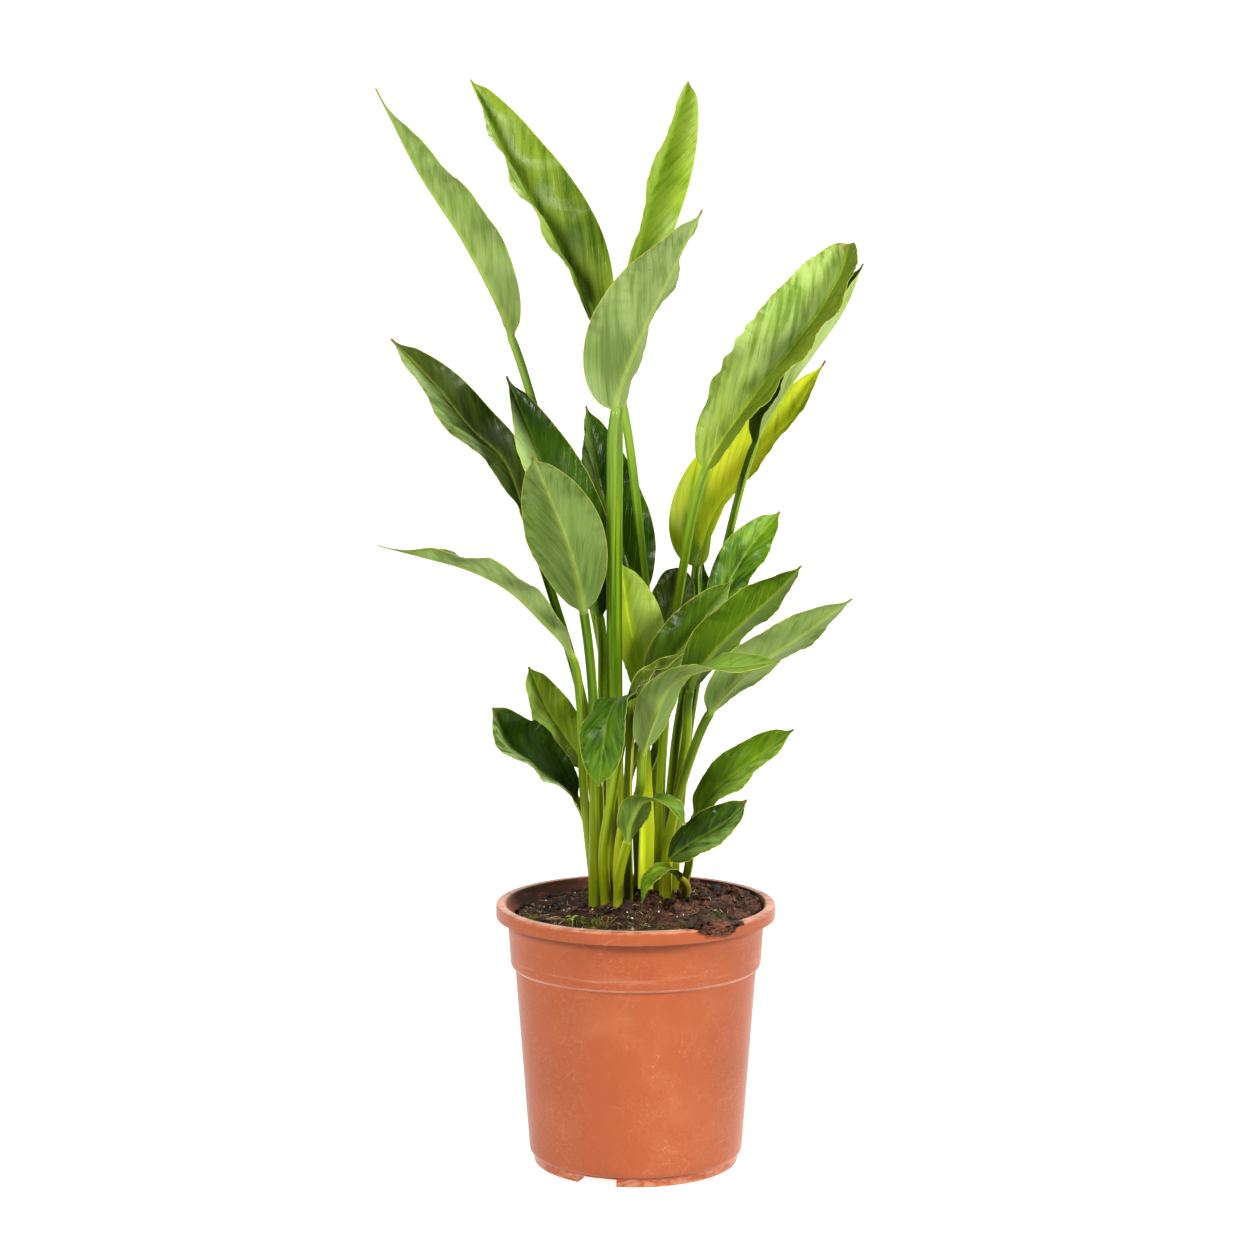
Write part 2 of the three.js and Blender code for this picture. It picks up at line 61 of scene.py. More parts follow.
class Value:
    """A shader socket. Arithmetic on it adds Math nodes."""

    def __init__(self, finish, socket):
        self.finish, self.socket = finish, socket

    def maths(self, operation, *terms):
        return self.finish.add("ShaderNodeMath", {"operation": operation}, dict(enumerate(terms)))

    def __add__(self, other):
        return self.maths("ADD", self, other)

    def __radd__(self, other):
        return self.maths("ADD", other, self)

    def __sub__(self, other):
        return self.maths("SUBTRACT", self, other)

    def __rsub__(self, other):
        return self.maths("SUBTRACT", other, self)

    def __mul__(self, other):
        return self.maths("MULTIPLY", self, other)

    def __rmul__(self, other):
        return self.maths("MULTIPLY", other, self)

    def __truediv__(self, other):
        return self.maths("DIVIDE", self, other)

    def __pow__(self, other):
        return self.maths("POWER", self, other)

    def __abs__(self):
        return self.maths("ABSOLUTE", self)

    def sine(self):
        return self.maths("SINE", self)

    def least(self, other):
        return self.maths("MINIMUM", self, other)

    def most(self, other):
        return self.maths("MAXIMUM", self, other)

    def rise(self, low, high):
        """0 below low, 1 above high, smooth between; high may be the lower one."""
        if high < low:
            return 1 - self.rise(high, low)
        return self.finish.add("ShaderNodeMapRange", {"interpolation_type": "SMOOTHSTEP"},
                               {"Value": self, "From Min": low, "From Max": high})


class Finish:
    """A material under construction, or the world's light where room is given."""

    def __init__(self, name, room=None):
        self.material = room or bpy.data.materials.new(name)
        self.material.use_nodes = True
        self.tree = self.material.node_tree
        self.tree.nodes.clear()

    def add(self, kind, settings=None, values=None, output=0):
        node = self.tree.nodes.new(kind)
        for key, setting in (settings or {}).items():
            setattr(node, key, setting)
        for key, value in (values or {}).items():
            if isinstance(value, Value):
                self.tree.links.new(value.socket, node.inputs[key])
            else:
                node.inputs[key].default_value = value
        return Value(self, node.outputs[output])

    def split(self, vector):
        node = self.add("ShaderNodeSeparateXYZ", None, {0: vector}).socket.node
        return [Value(self, socket) for socket in node.outputs]

    def attribute(self, name):
        return self.add("ShaderNodeAttribute", {"attribute_name": name}, output="Vector")

    def place(self):
        return self.add("ShaderNodeTexCoord", output="Object")

    def vector(self, x, y, z):
        return self.add("ShaderNodeCombineXYZ", None, {0: x, 1: y, 2: z})

    def stretch(self, vector, by):
        return self.add("ShaderNodeVectorMath", {"operation": "MULTIPLY"}, {0: vector, 1: by})

    def noise(self, vector, scale, detail=3.0, rough=0.55, bend=0.0):
        return self.add("ShaderNodeTexNoise", None, {
            "Vector": vector, "Scale": scale, "Detail": detail,
            "Roughness": rough, "Distortion": bend})

    def mix(self, first, second, share, how="MIX"):
        return self.add("ShaderNodeMix", {"data_type": "RGBA", "blend_type": how},
                        {0: share, 6: first, 7: second}, output=2)

    def bump(self, height, depth, strength=1.0):
        return self.add("ShaderNodeBump", None,
                        {"Height": height, "Distance": depth, "Strength": strength})

    def done(self, **sockets):
        """Ends in a Principled shader. An underscore in a name stands for the space in its socket's."""
        values = {key.replace("_", " "): value for key, value in sockets.items()}
        shader = self.add("ShaderNodeBsdfPrincipled", None, values)
        self.add_output(shader, "ShaderNodeOutputMaterial")
        return self.material

    def add_output(self, shader, kind):
        node = self.tree.nodes.new(kind)
        self.tree.links.new(shader.socket, node.inputs["Surface"])


# ---- meshes ----------------------------------------------------------------------------------


def new_mesh(name, verts, faces):
    """A mesh from points in millimetres."""
    mesh = bpy.data.meshes.new(name)
    mesh.from_pydata((np.asarray(verts, float) * MM).tolist(), [], [list(f) for f in faces])
    return mesh


def put_in_scene(name, data):
    """A new object that holds a mesh, a lamp or the camera."""
    thing = bpy.data.objects.new(name, data)
    bpy.context.scene.collection.objects.link(thing)
    return thing


def ring_faces(rings, sides):
    """Faces between rings of points, each ring after the one before it."""
    for i in range(rings - 1):
        for k in range(sides):
            a, b = i * sides + k, i * sides + (k + 1) % sides
            yield a, b, b + sides, a + sides


def make_piece(name, verts, faces, material, smooth_angle=None):
    """A piece from points in millimetres, riding on the one body."""
    mesh = new_mesh(name, verts, faces)
    mesh.validate()
    mesh.materials.append(material)
    mesh.shade_smooth()
    if smooth_angle is not None:
        mesh.set_sharp_from_angle(angle=math.radians(smooth_angle))
    piece = put_in_scene(name, mesh)
    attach(piece, "root")
    return piece


def mark(piece, name, rows):
    """Stores three numbers at each point for the finish to read."""
    attribute = piece.data.attributes.new(name, "FLOAT_VECTOR", "POINT")
    attribute.data.foreach_set("vector", np.asarray(rows, np.float32).ravel())


def rise(value, low, high):
    """0 at low, 1 at high, smooth between."""
    t = np.clip((value - low) / (high - low), 0, 1)
    return t * t * (3 - 2 * t)


def between(a, b, t):
    return a + (b - a) * t


# ---- the pot ---------------------------------------------------------------------------------

POT_HEIGHT = 197.3
WALL = 2.0
POT_SIDES = 240
POT_EDGE_ANGLE = 38  # degrees: edges sharper than this stay crisp
FOOT_OUTER, FOOT_INNER, FOOT_HEIGHT, FOOT_ROUND = 77.0, 65.0, 7.4, 0.7
FLOOR_LOW, FLOOR_TOP = 7.0, 9.4
BODY_LOW, BODY_LOW_Z, BODY_TOP, BODY_TOP_Z = 80.6, 11.8, 90.8, 148.6
COLLAR_LOW, COLLAR_LOW_Z, COLLAR_TOP = 94.3, 153.6, 96.4
RIM_OUTER, RIM_INNER, RIM_BAND, RIM_SKIRT, RIM_ROUND, LIP_ROUND = 105.0, 97.6, 10.0, 2.2, 1.6, 0.9
NOTCHES = (-112.8, 7.2, 127.2)  # where the foot ring is notched, in degrees
NOTCH_WIDTH, NOTCH_HEIGHT, NOTCH_SLANT = 32.0, 5.6, 3.0
NOTCH_REACH = (-6.0, 20.0)  # how far a notch is cut in from the foot's inner side, and out from it
SLOT_WIDTH, SLOT_LENGTH, SLOT_LOW, SLOT_HIGH = 9.0, 26.0, 4.0, 12.0
CUT_BELOW = 2.0  # how far a notch's cutter starts below the foot
BAND = POT_HEIGHT - RIM_BAND
GROOVE = RIM_OUTER - RIM_SKIRT
GROOVE_TOP = BAND + 7.4
COLLAR_SLOPE = 0.0625  # how far the collar leans out for its height


def arc(centre, radius, start, end, count=6):
    """Points round part of a circle, from one angle to another in degrees."""
    angles = np.radians(np.linspace(start, end, count))
    return [(centre[0] + radius * math.cos(a), centre[1] + radius * math.sin(a)) for a in angles]


def foot_and_wall():
    """The section from the floor's middle, round the foot ring and up the tapered wall."""
    soft, outer, inner, high = FOOT_ROUND, FOOT_OUTER, FOOT_INNER, FOOT_HEIGHT
    foot = [(0, FLOOR_LOW), (inner - 1, FLOOR_LOW), (inner, FLOOR_LOW - 0.6), (inner + 0.9, 0.7),
            *arc((inner + 1 + soft, soft), soft, 180, 270, 4),
            *arc((outer - soft, soft), soft, 270, 360, 4),
            (outer, high - 0.6), (outer + 0.25, high - 0.1), (outer + 1.5, high + 0.15)]
    flare = []
    for t in (0.2, 0.4, 0.6, 0.8, 1):
        turn = t * math.pi / 2
        flare.append((between(outer + 1.6, BODY_LOW, math.sin(turn)),
                      between(high + 0.3, BODY_LOW_Z, 1 - math.cos(turn))))
    wall = [(between(BODY_LOW, BODY_TOP, t), between(BODY_LOW_Z, BODY_TOP_Z, t))
            for t in (0.25, 0.5, 0.75, 0.97, 1)]
    return foot + flare + wall


def collar_and_rim():
    """The section over the rounded step, up the collar and round the rim band to its mouth."""
    collar = [(BODY_TOP + 0.5, BODY_TOP_Z + 0.5),
              (between(BODY_TOP, COLLAR_LOW, 0.5), BODY_TOP_Z + 1.3),
              (between(BODY_TOP, COLLAR_LOW, 0.78), between(BODY_TOP_Z, COLLAR_LOW_Z, 0.42)),
              (COLLAR_LOW - 0.25, COLLAR_LOW_Z - 1.6), (COLLAR_LOW, COLLAR_LOW_Z),
              (between(COLLAR_LOW, COLLAR_TOP, 0.5), between(COLLAR_LOW_Z, BAND, 0.5)),
              (COLLAR_TOP, BAND)]
    rim = [(RIM_INNER + WALL, BAND + 5), (RIM_INNER + WALL, GROOVE_TOP), (GROOVE, GROOVE_TOP),
           (GROOVE, BAND + 0.3), (GROOVE + 0.3, BAND), (RIM_OUTER - 0.7, BAND),
           (RIM_OUTER - 0.2, BAND + 0.2), (RIM_OUTER, BAND + 0.8),
           (RIM_OUTER, POT_HEIGHT - RIM_ROUND - 0.6),
           *arc((RIM_OUTER - RIM_ROUND, POT_HEIGHT - RIM_ROUND), RIM_ROUND, 10, 90, 6),
           *arc((RIM_INNER + LIP_ROUND, POT_HEIGHT - LIP_ROUND), LIP_ROUND, 90, 180, 5)]
    return collar + rim


def pot_profile():
    """The pot's whole section, outside first, as (radius, height)."""
    inside = [(RIM_INNER - 0.4, BAND + 4), (COLLAR_TOP - WALL, BAND),
              (COLLAR_LOW - WALL, COLLAR_LOW_Z + 1), (BODY_TOP - WALL, BODY_TOP_Z - 1),
              (BODY_LOW - WALL, BODY_LOW_Z + 2), (BODY_LOW - 6, FLOOR_TOP), (0, FLOOR_TOP)]
    return foot_and_wall() + collar_and_rim() + inside


def turned(profile, sides):
    """A closed body of revolution through a profile that starts and ends on the axis."""
    verts = []
    inner = profile[1:-1]
    for radius, height in inner:
        for angle in np.linspace(0, 2 * math.pi, sides, endpoint=False):
            verts.append((radius * math.cos(angle), radius * math.sin(angle), height))
    faces = list(ring_faces(len(inner), sides))
    faces.append(tuple(range(sides - 1, -1, -1)))
    faces.append(tuple((len(inner) - 1) * sides + k for k in range(sides)))
    return verts, faces


def prism(outline, y_low, y_high, degrees):
    """A cutter: an outline in X and Z drawn along Y, then turned about the pot's axis."""
    turn = Matrix.Rotation(math.radians(degrees - 90), 3, "Z")
    count = len(outline)
    verts = [tuple(turn @ Vector((x, y, z))) for y in (y_low, y_high) for x, z in outline]
    sides = [(k, (k + 1) % count, (k + 1) % count + count, k + count) for k in range(count)]
    return verts, sides + [tuple(range(count - 1, -1, -1)), tuple(range(count, 2 * count))]


def raw_object(name, verts, faces):
    """A closed body with its faces turned outwards, ready to cut or be cut."""
    mesh = new_mesh(name, verts, faces)
    body = bmesh.new()
    body.from_mesh(mesh)
    bmesh.ops.recalc_face_normals(body, faces=body.faces)
    body.to_mesh(mesh)
    body.free()
    return put_in_scene(name, mesh)


def foot_cutters():
    """At each notch, a cutter for the notch with its one slanted side and one for its drain slot."""
    cutters = []
    half, slot_half = NOTCH_WIDTH / 2, SLOT_LENGTH / 2
    notch = [(-half, -CUT_BELOW), (half, -CUT_BELOW), (half - NOTCH_SLANT, NOTCH_HEIGHT),
             (-half, NOTCH_HEIGHT)]
    slot = [(-slot_half, SLOT_LOW), (slot_half, SLOT_LOW), (slot_half, SLOT_HIGH),
            (-slot_half, SLOT_HIGH)]
    notch_low, notch_high = (FOOT_INNER + reach for reach in NOTCH_REACH)
    middle = FOOT_INNER - SLOT_WIDTH
    slot_low, slot_high = middle - SLOT_WIDTH / 2, middle + SLOT_WIDTH / 2
    for degrees in NOTCHES:
        cutters.append(raw_object("cutter", *prism(notch, notch_low, notch_high, degrees)))
        cutters.append(raw_object("cutter", *prism(slot, slot_low, slot_high, degrees)))
    return cutters


def build_pot():
    """The turned shell, cut at its foot."""
    shell = raw_object("shell", *turned(pot_profile(), POT_SIDES))
    cutters = foot_cutters()
    for cutter in cutters:
        cut = shell.modifiers.new("cut", "BOOLEAN")
        cut.object, cut.operation, cut.solver = cutter, "DIFFERENCE", "EXACT"
    solved = shell.evaluated_get(bpy.context.evaluated_depsgraph_get())
    mesh = bpy.data.meshes.new_from_object(solved)
    for thing in (*cutters, shell):
        bpy.data.objects.remove(thing)
    mesh.name = "pot_shell"
    mesh.materials.clear()
    mesh.materials.append(pot_finish())
    mesh.shade_smooth()
    mesh.set_sharp_from_angle(angle=math.radians(POT_EDGE_ANGLE))
    piece = put_in_scene("pot_shell", mesh)
    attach(piece, "root")
    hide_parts("pot")


def pot_finish():
    """Matt terracotta-coloured plastic, mottled, scuffed and a little dusty."""
    fin = Finish("terracotta_plastic")
    place = fin.place()
    x, y, z = fin.split(place)
    clay, worn, dark = colour(162, 86, 49), colour(182, 112, 76), colour(140, 68, 38)
    dust, earth = colour(226, 178, 150), colour(84, 58, 42)

    cloud = fin.noise(place, 16, 5, 0.6)
    fleck = fin.noise(place, 230, 3, 0.6)
    body = fin.mix(clay, worn, cloud.rise(0.5, 0.72) * 0.34)
    body = fin.mix(body, dark, cloud.rise(0.5, 0.3) * 0.35)
    body = fin.mix(body, worn, fleck.rise(0.58, 0.75) * 0.25)

    # pale hairline scuffs: thin level lines of a bent noise, broken up by a second one
    swirl = fin.noise(fin.stretch(place, (1, 1, 0.6)), 20, 2, 0.5, bend=1.6)
    hair = abs(swirl - 0.52).rise(0.0045, 0.0005) * fin.noise(place, 34, 2).rise(0.5, 0.62)
    worm = abs(fin.noise(place, 120, 2, 0.5, bend=2.4) - 0.5).rise(0.022, 0.004)
    worn_in = fin.noise(place, 26, 2).rise(0.4, 0.62)
    level = fin.noise(fin.stretch(place, (1, 1, 14)), 26, 3, 0.6, bend=0.4)
    drag = level.rise(0.64, 0.7) * fin.noise(place, 12, 2).rise(0.46, 0.6)
    body = fin.mix(body, dust, hair * 0.2 + worm * worn_in * 0.13)
    body = fin.mix(body, dust, drag * 0.12)

    # wear along the foot, the collar's step and the rim's edges; heights are in metres here
    rub = fin.noise(fin.stretch(place, (1, 1, 3)), 90, 4, 0.65)
    foot = z.rise(0.0092, 0.0035) * rub.rise(0.42, 0.6)
    step = (z.rise(0.1496, 0.1503) * z.rise(0.1522, 0.1512)) * (0.45 + rub.rise(0.3, 0.6) * 0.55)
    lip = z.rise(0.1945, 0.1968) * rub.rise(0.35, 0.62)
    scrape = (z.rise(0.1535, 0.156) * z.rise(0.165, 0.158)) * level.rise(0.5, 0.62)
    body = fin.mix(body, dust, (foot * 0.3).most(step * 0.32).most(lip * 0.4).most(scrape * 0.12))

    # earth in the groove under the rim and in specks on the wall; inside the mouth the wall is darkened
    # with the same colour, most at the back
    groove = (z.rise(0.1868, 0.1880) * z.rise(0.196, 0.190)) * rub.rise(0.5, 0.7)
    inner = (x * x + y * y) ** 0.5
    wall_middle = (COLLAR_LOW - WALL / 2) * MM + (z - COLLAR_LOW_Z * MM) * COLLAR_SLOPE
    within = wall_middle + z.rise(0.1862, 0.1875) * 0.0032 - inner
    mouth = within.rise(0.0, 0.0003) * z.rise(0.165, 0.172)
    speck = fin.noise(place, 420, 2).rise(0.70, 0.74) * cloud.rise(0.45, 0.6)
    groove = groove * 0.25 * inner.rise(0.1005, 0.0995) * z.rise(0.1945, 0.192)
    body = fin.mix(body, earth, groove.most(speck * 0.35))
    body = fin.mix(body, earth, mouth * rub.rise(0.22, 0.5) * (0.2 + y.rise(0.0, 0.045) * 0.75))

    height = fleck * 0.5 + cloud * 0.8 + hair * 0.5 + worm * 0.35 - speck * 0.6
    roughness = 0.46 + cloud * 0.12 + hair * 0.2 + mouth * 0.3
    return fin.done(Base_Color=body, Roughness=roughness, IOR=1.48,
                    Specular_IOR_Level=0.36, Sheen_Weight=0.4, Sheen_Roughness=0.35,
                    Normal=fin.bump(height, 0.00016, 0.7))


# ---- the soil --------------------------------------------------------------------------------

BED_RADIUS = 94.0
BED_SIDES, BED_RINGS = 420, 150
BED_MIDDLE = 1.0  # radius of the innermost ring
BED_BELOW = ((BED_RADIUS, 176), (88.0, 150), (77.5, 14), (73.5, FLOOR_TOP + 0.3),
             (BED_MIDDLE, FLOOR_TOP + 0.3))  # radius and height, down the pot's inside
CLOD_AT, CLOD_SIZE, CLOD_TURN = (57, -81, 197.5), (23, 14, 6.5), 32.0
CLOD_LUMPS, CRUMBS, FIBROUS_LUMPS, FIBRES, BARK_CHIPS, PERLITE = 46, 900, 150, 1500, 70, 90
FIBRE_EDGE, MOSS_EDGE = 92.0, 91.5  # fibres and moss keep inside these radii
ABOUT_A_TURN = 6.28  # radians, for chips and moss that may lie any way round


def bell(x, y, at_x, at_y, spread):
    """1 at a place on the soil, less and less away from it."""
    return np.exp(-((x - at_x) ** 2 + (y - at_y) ** 2) / (2 * spread ** 2))


def soil_height(x, y):
    """The soil's surface, as in the plain model: mounded round the stalks and to the right."""
    mound = 12 * bell(x, y, 4, 12, 42)
    right = 9 * bell(x, y, 68, 20, 36) + 6 * bell(x, y, 36, -66, 34)
    low = -3 * bell(x, y, -66, 30, 34)
    lumps = 0.9 * np.sin(x / 7.3 + 1) * np.cos(y / 6.1) + 0.6 * np.sin((x + 1.7 * y) / 4.9)
    return 187 + mound + right + low + lumps


def grain(x, y, z=0.0):
    """Crumbs of several sizes, in millimetres up from the soil's own surface."""
    at = Vector((x, y, z))
    coarse = noise.fractal(at * 0.075, 0.9, 2.1, 3)
    crumbs = noise.cell(at * 0.16 + Vector((0.5, 0.5, 0.5)))
    fine = noise.fractal(at * 0.42, 0.7, 2.2, 3)
    ridged = abs(noise.noise(at * 0.21))
    return 1.5 * coarse + 0.9 * fine + 1.6 * ridged - 0.5 + 0.25 * crumbs


def surface(x, y):
    """The height of the grained soil at a place."""
    return float(soil_height(x, y)) + grain(x, y)


def build_bed(finish):
    """The soil that fills the pot, its top finely grained and slumped at the wall."""
    verts = []
    for i in range(BED_RINGS):
        radius = BED_MIDDLE + (BED_RADIUS - BED_MIDDLE) * (i / (BED_RINGS - 1)) ** 0.8
        for k in range(BED_SIDES):
            angle = 2 * math.pi * k / BED_SIDES
            x, y = radius * math.cos(angle), radius * math.sin(angle)
            uneven = 0.4 + noise.noise(Vector((x, y, 9)) * 0.06)
            slump = 2.2 * rise(radius, BED_RADIUS - 7, BED_RADIUS) * uneven
            verts.append((x, y, surface(x, y) - slump))
    for radius, height in BED_BELOW:
        for k in range(BED_SIDES):
            angle = 2 * math.pi * k / BED_SIDES
            verts.append((radius * math.cos(angle), radius * math.sin(angle), height))
    total = BED_RINGS + len(BED_BELOW)
    faces = [(a, d, c, b) for a, b, c, d in ring_faces(total, BED_SIDES)]
    faces.append(tuple(range(BED_SIDES)))
    faces.append(tuple((total - 1) * BED_SIDES + k for k in range(BED_SIDES - 1, -1, -1)))
    bed = make_piece("soil_bed", verts, faces, finish)
    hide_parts("soil")


def soil_finish(name, dark, mid, warm):
    """Damp peat with fibres and crumbs, and painted shade in its hollows; warm is the reddish coir that
    shows in it.
    """
    fin = Finish(name)
    place = fin.place()
    coarse = fin.noise(place, 60, 4, 0.65)
    crumb = fin.noise(place, 420, 4, 0.65)
    threads = fin.noise(fin.stretch(place, (1.0, 0.25, 2.0)), 650, 3, 0.6, bend=1.2)
    body = fin.mix(dark, mid, crumb.rise(0.38, 0.66))
    x, y, z = fin.split(place)
    at_right = 0.12 + x.rise(-0.03, 0.05) * 0.95
    fibrous = (coarse.rise(0.42, 0.62) * threads.rise(0.36, 0.62) * at_right).least(1)
    body = fin.mix(body, warm, fibrous)
    mossy = fin.noise(place, 48, 3).rise(0.5, 0.62) * y.rise(-0.02, -0.06) * 0.6
    body = fin.mix(body, colour(70, 76, 24), mossy)
    body = fin.mix(body, colour(150, 120, 84), threads.rise(0.68, 0.74) * 0.5)
    # painted shade: the bump's low places between the crumbs are darkened almost to black
    hollow_shade = (crumb.rise(0.42, 0.26) * 0.85).most(coarse.rise(0.46, 0.36) * 0.6)
    body = fin.mix(body, colour(12, 9, 7), hollow_shade)
    height = coarse + crumb * 0.7 + threads * 0.4
    return fin.done(Base_Color=body, Roughness=0.86 - crumb * 0.2,
                    Normal=fin.bump(height, 0.0009, 1.0))


def lump(radii, seed, detail=3, rough=0.3):
    """A crumb of soil: a ball pushed in and out by noise."""
    ball = bmesh.new()
    bmesh.ops.create_icosphere(ball, subdivisions=detail, radius=1)
    verts = []
    for vert in ball.verts:
        co = vert.co
        push = 1 + rough * noise.fractal(co * 1.7 + Vector((seed, 3.1, 0)), 0.8, 2.1, 3)
        verts.append([co[i] * push * radii[i] for i in range(3)])
    faces = [tuple(v.index for v in face.verts) for face in ball.faces]
    ball.free()
    return np.array(verts), faces


class Heap:
    """Many small bodies gathered into one mesh."""

    def __init__(self):
        self.verts, self.faces, self.count = [], [], 0

    def put(self, verts, faces, at=(0, 0, 0), turn=None):
        verts = np.asarray(verts, float)
        if turn is not None:
            verts = verts @ np.array(turn).T
        self.verts.append(verts + np.asarray(at, float))
        self.faces.extend([tuple(i + self.count for i in face) for face in faces])
        self.count += len(verts)

    def piece(self, name, material):
        piece = make_piece(name, np.vstack(self.verts), self.faces, material)
        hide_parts("soil")
        return piece


def any_turn():
    """A turn by any angle about any axis."""
    axis = Vector((rng.uniform(-1, 1), rng.uniform(-1, 1), rng.uniform(-1, 1))).normalized()
    return Matrix.Rotation(rng.uniform(0, 2 * math.pi), 3, axis)


def in_pot(limit=91.0):
    """A place on the soil, evenly spread."""
    radius, angle = limit * math.sqrt(rng.random()), rng.uniform(0, 2 * math.pi)
    return radius * math.cos(angle), radius * math.sin(angle)


def thread(points, radius, sides=5, tip=0.35):
    """A strand through the points, tapered to both ends."""
    points = np.asarray(points, float)
    verts = []
    count = len(points)
    for i, at in enumerate(points):
        along = points[min(i + 1, count - 1)] - points[max(i - 1, 0)]
        along = along / (np.linalg.norm(along) + 1e-9)
        across = np.cross(along, (0.3, 0.2, 1.0))
        across /= np.linalg.norm(across) + 1e-9
        up = np.cross(across, along)
        r = radius * between(1, tip, abs(2 * i / (count - 1) - 1) ** 2)
        for k in range(sides):
            a = 2 * math.pi * k / sides
            verts.append(at + r * (across * math.cos(a) + up * math.sin(a)))
    faces = list(ring_faces(count, sides))
    faces.append(tuple(range(sides - 1, -1, -1)))
    faces.append(tuple((count - 1) * sides + k for k in range(sides)))
    return verts, faces


def build_soil():
    """The bed, and all that lies or grows on it."""
    peat = soil_finish("soil_peat", colour(26, 17, 12), colour(56, 37, 26), colour(116, 66, 42))
    coir = soil_finish("soil_coir", colour(34, 22, 16), colour(74, 46, 32), colour(124, 74, 48))
    build_bed(peat)

    build_clod(coir)
    build_loose_soil(peat, coir)
    build_fibres()
    build_specks()
    build_moss()
    build_seedling()


def build_clod(finish):
    """The clod that lies over the rim: one lump with smaller ones on it."""
    clod = Heap()
    turn = Matrix.Rotation(math.radians(CLOD_TURN), 3, "Z")
    core = lump([0.9 * size for size in CLOD_SIZE], 4.0, detail=6, rough=0.42)
    clod.put(*core, CLOD_AT, turn)
    for i in range(CLOD_LUMPS):
        angle, out = rng.uniform(0, 2 * math.pi), rng.uniform(0.3, 0.95)
        flat_at = turn @ Vector((CLOD_SIZE[0] * out * math.cos(angle),
                                 CLOD_SIZE[1] * out * math.sin(angle), 0))
        top = CLOD_SIZE[2] * math.sqrt(1 - out ** 2) * rng.uniform(0.3, 0.9)
        size = rng.uniform(1.4, 3.6)
        at = (CLOD_AT[0] + flat_at.x, CLOD_AT[1] + flat_at.y, CLOD_AT[2] + top)
        clod.put(*lump((size, size * 0.8, size * 0.6), i + 20.3, 2, 0.5), at, any_turn())
    clod.piece("soil_clod_over_rim", finish)


def build_loose_soil(peat, coir):
    """Loose crumbs all over, and fibrous lumps, most of them at the right."""
    crumbs, fibrous = Heap(), Heap()
    for i in range(CRUMBS):
        x, y = in_pot()
        size = rng.uniform(0.8, 2.6)
        radii = [size * rng.uniform(0.7, 1.3) for _ in range(3)]
        at = (x, y, surface(x, y) + size * 0.15)
        crumbs.put(*lump(radii, i, 2, 0.45), at, any_turn())
    for i in range(FIBROUS_LUMPS):
        x, y = in_pot(88)
        if rng.random() > rise(x + 0.25 * y, -40, 60):
            continue
        size = rng.uniform(2.6, 6.5)
        ranges = ((0.8, 1.3), (0.6, 1.0), (0.5, 0.8))
        radii = [size * rng.uniform(low, high) for low, high in ranges]
        at = (x, y, surface(x, y) + size * 0.1)
        fibrous.put(*lump(radii, i + 0.5, 3, 0.5), at, any_turn())
    crumbs.piece("soil_crumbs", peat)
    fibrous.piece("soil_lumps", coir)


def plain_finish(name, first, second, scale, roughness, bump_depth=0.0):
    """A two-coloured natural surface."""
    fin = Finish(name)
    spots = fin.noise(fin.place(), scale, 4, 0.6)
    values = {"Base_Color": fin.mix(colour(*first), colour(*second), spots.rise(0.36, 0.66)),
              "Roughness": roughness}
    if bump_depth:
        values["Normal"] = fin.bump(spots, bump_depth, 0.8)
    return fin.done(**values)


def build_fibres():
    """Curved fibres and straws that lie on the soil; one in three is long."""
    straw, root = Heap(), Heap()
    for i in range(FIBRES):
        x, y = in_pot(90)
        long = rng.uniform(3, 9) if i % 3 else rng.uniform(8, 20)
        heading = rng.uniform(0, 2 * math.pi)
        bend = rng.uniform(-1.2, 1.2)
        points = []
        for t in np.linspace(0, 1, 7):
            a = heading + bend * t
            px, py = x + long * t * math.cos(a), y + long * t * math.sin(a)
            if math.hypot(px, py) > FIBRE_EDGE:
                break
            lift = 0.5 + rng.uniform(0, 1.2) * math.sin(math.pi * t)
            points.append((px, py, surface(px, py) + lift))
        if len(points) > 3:
            heap = root if i % 4 else straw
            heap.put(*thread(points, rng.uniform(0.12, 0.34), sides=4))
    straw.piece("soil_straw", plain_finish("straw", (190, 168, 120), (150, 118, 76), 300, 0.7))
    root.piece("soil_fibres", plain_finish("coir_fibre", (120, 76, 46), (78, 48, 32), 200, 0.8))


def build_specks():
    """Chips of bark and white grains of perlite."""
    bark, white = Heap(), Heap()
    for i in range(BARK_CHIPS):
        x, y = in_pot(88)
        radii = (rng.uniform(2.5, 6.5), rng.uniform(1.4, 3.0), rng.uniform(0.7, 1.2))
        tilt = Matrix.Rotation(rng.uniform(-0.6, 0.6), 3, "X")
        heading = Matrix.Rotation(rng.uniform(0, ABOUT_A_TURN), 3, "Z")
        bark.put(*lump(radii, i + 70.2, 2, 0.35), (x, y, surface(x, y) + 0.8), tilt @ heading)
    for i in range(PERLITE):
        x, y = in_pot(90)
        size = rng.uniform(0.5, 1.3)
        grain_body = lump((size, size * 0.9, size * 0.8), i + 11.7, 2, 0.3)
        white.put(*grain_body, (x, y, surface(x, y) + size * 0.5), any_turn())
    bark.piece("soil_bark", plain_finish("bark", (96, 62, 44), (58, 38, 30), 180, 0.75, 0.0005))
    perlite = plain_finish("perlite", (222, 214, 198), (186, 172, 150), 300, 0.8, 0.0003)
    white.piece("soil_perlite", perlite)


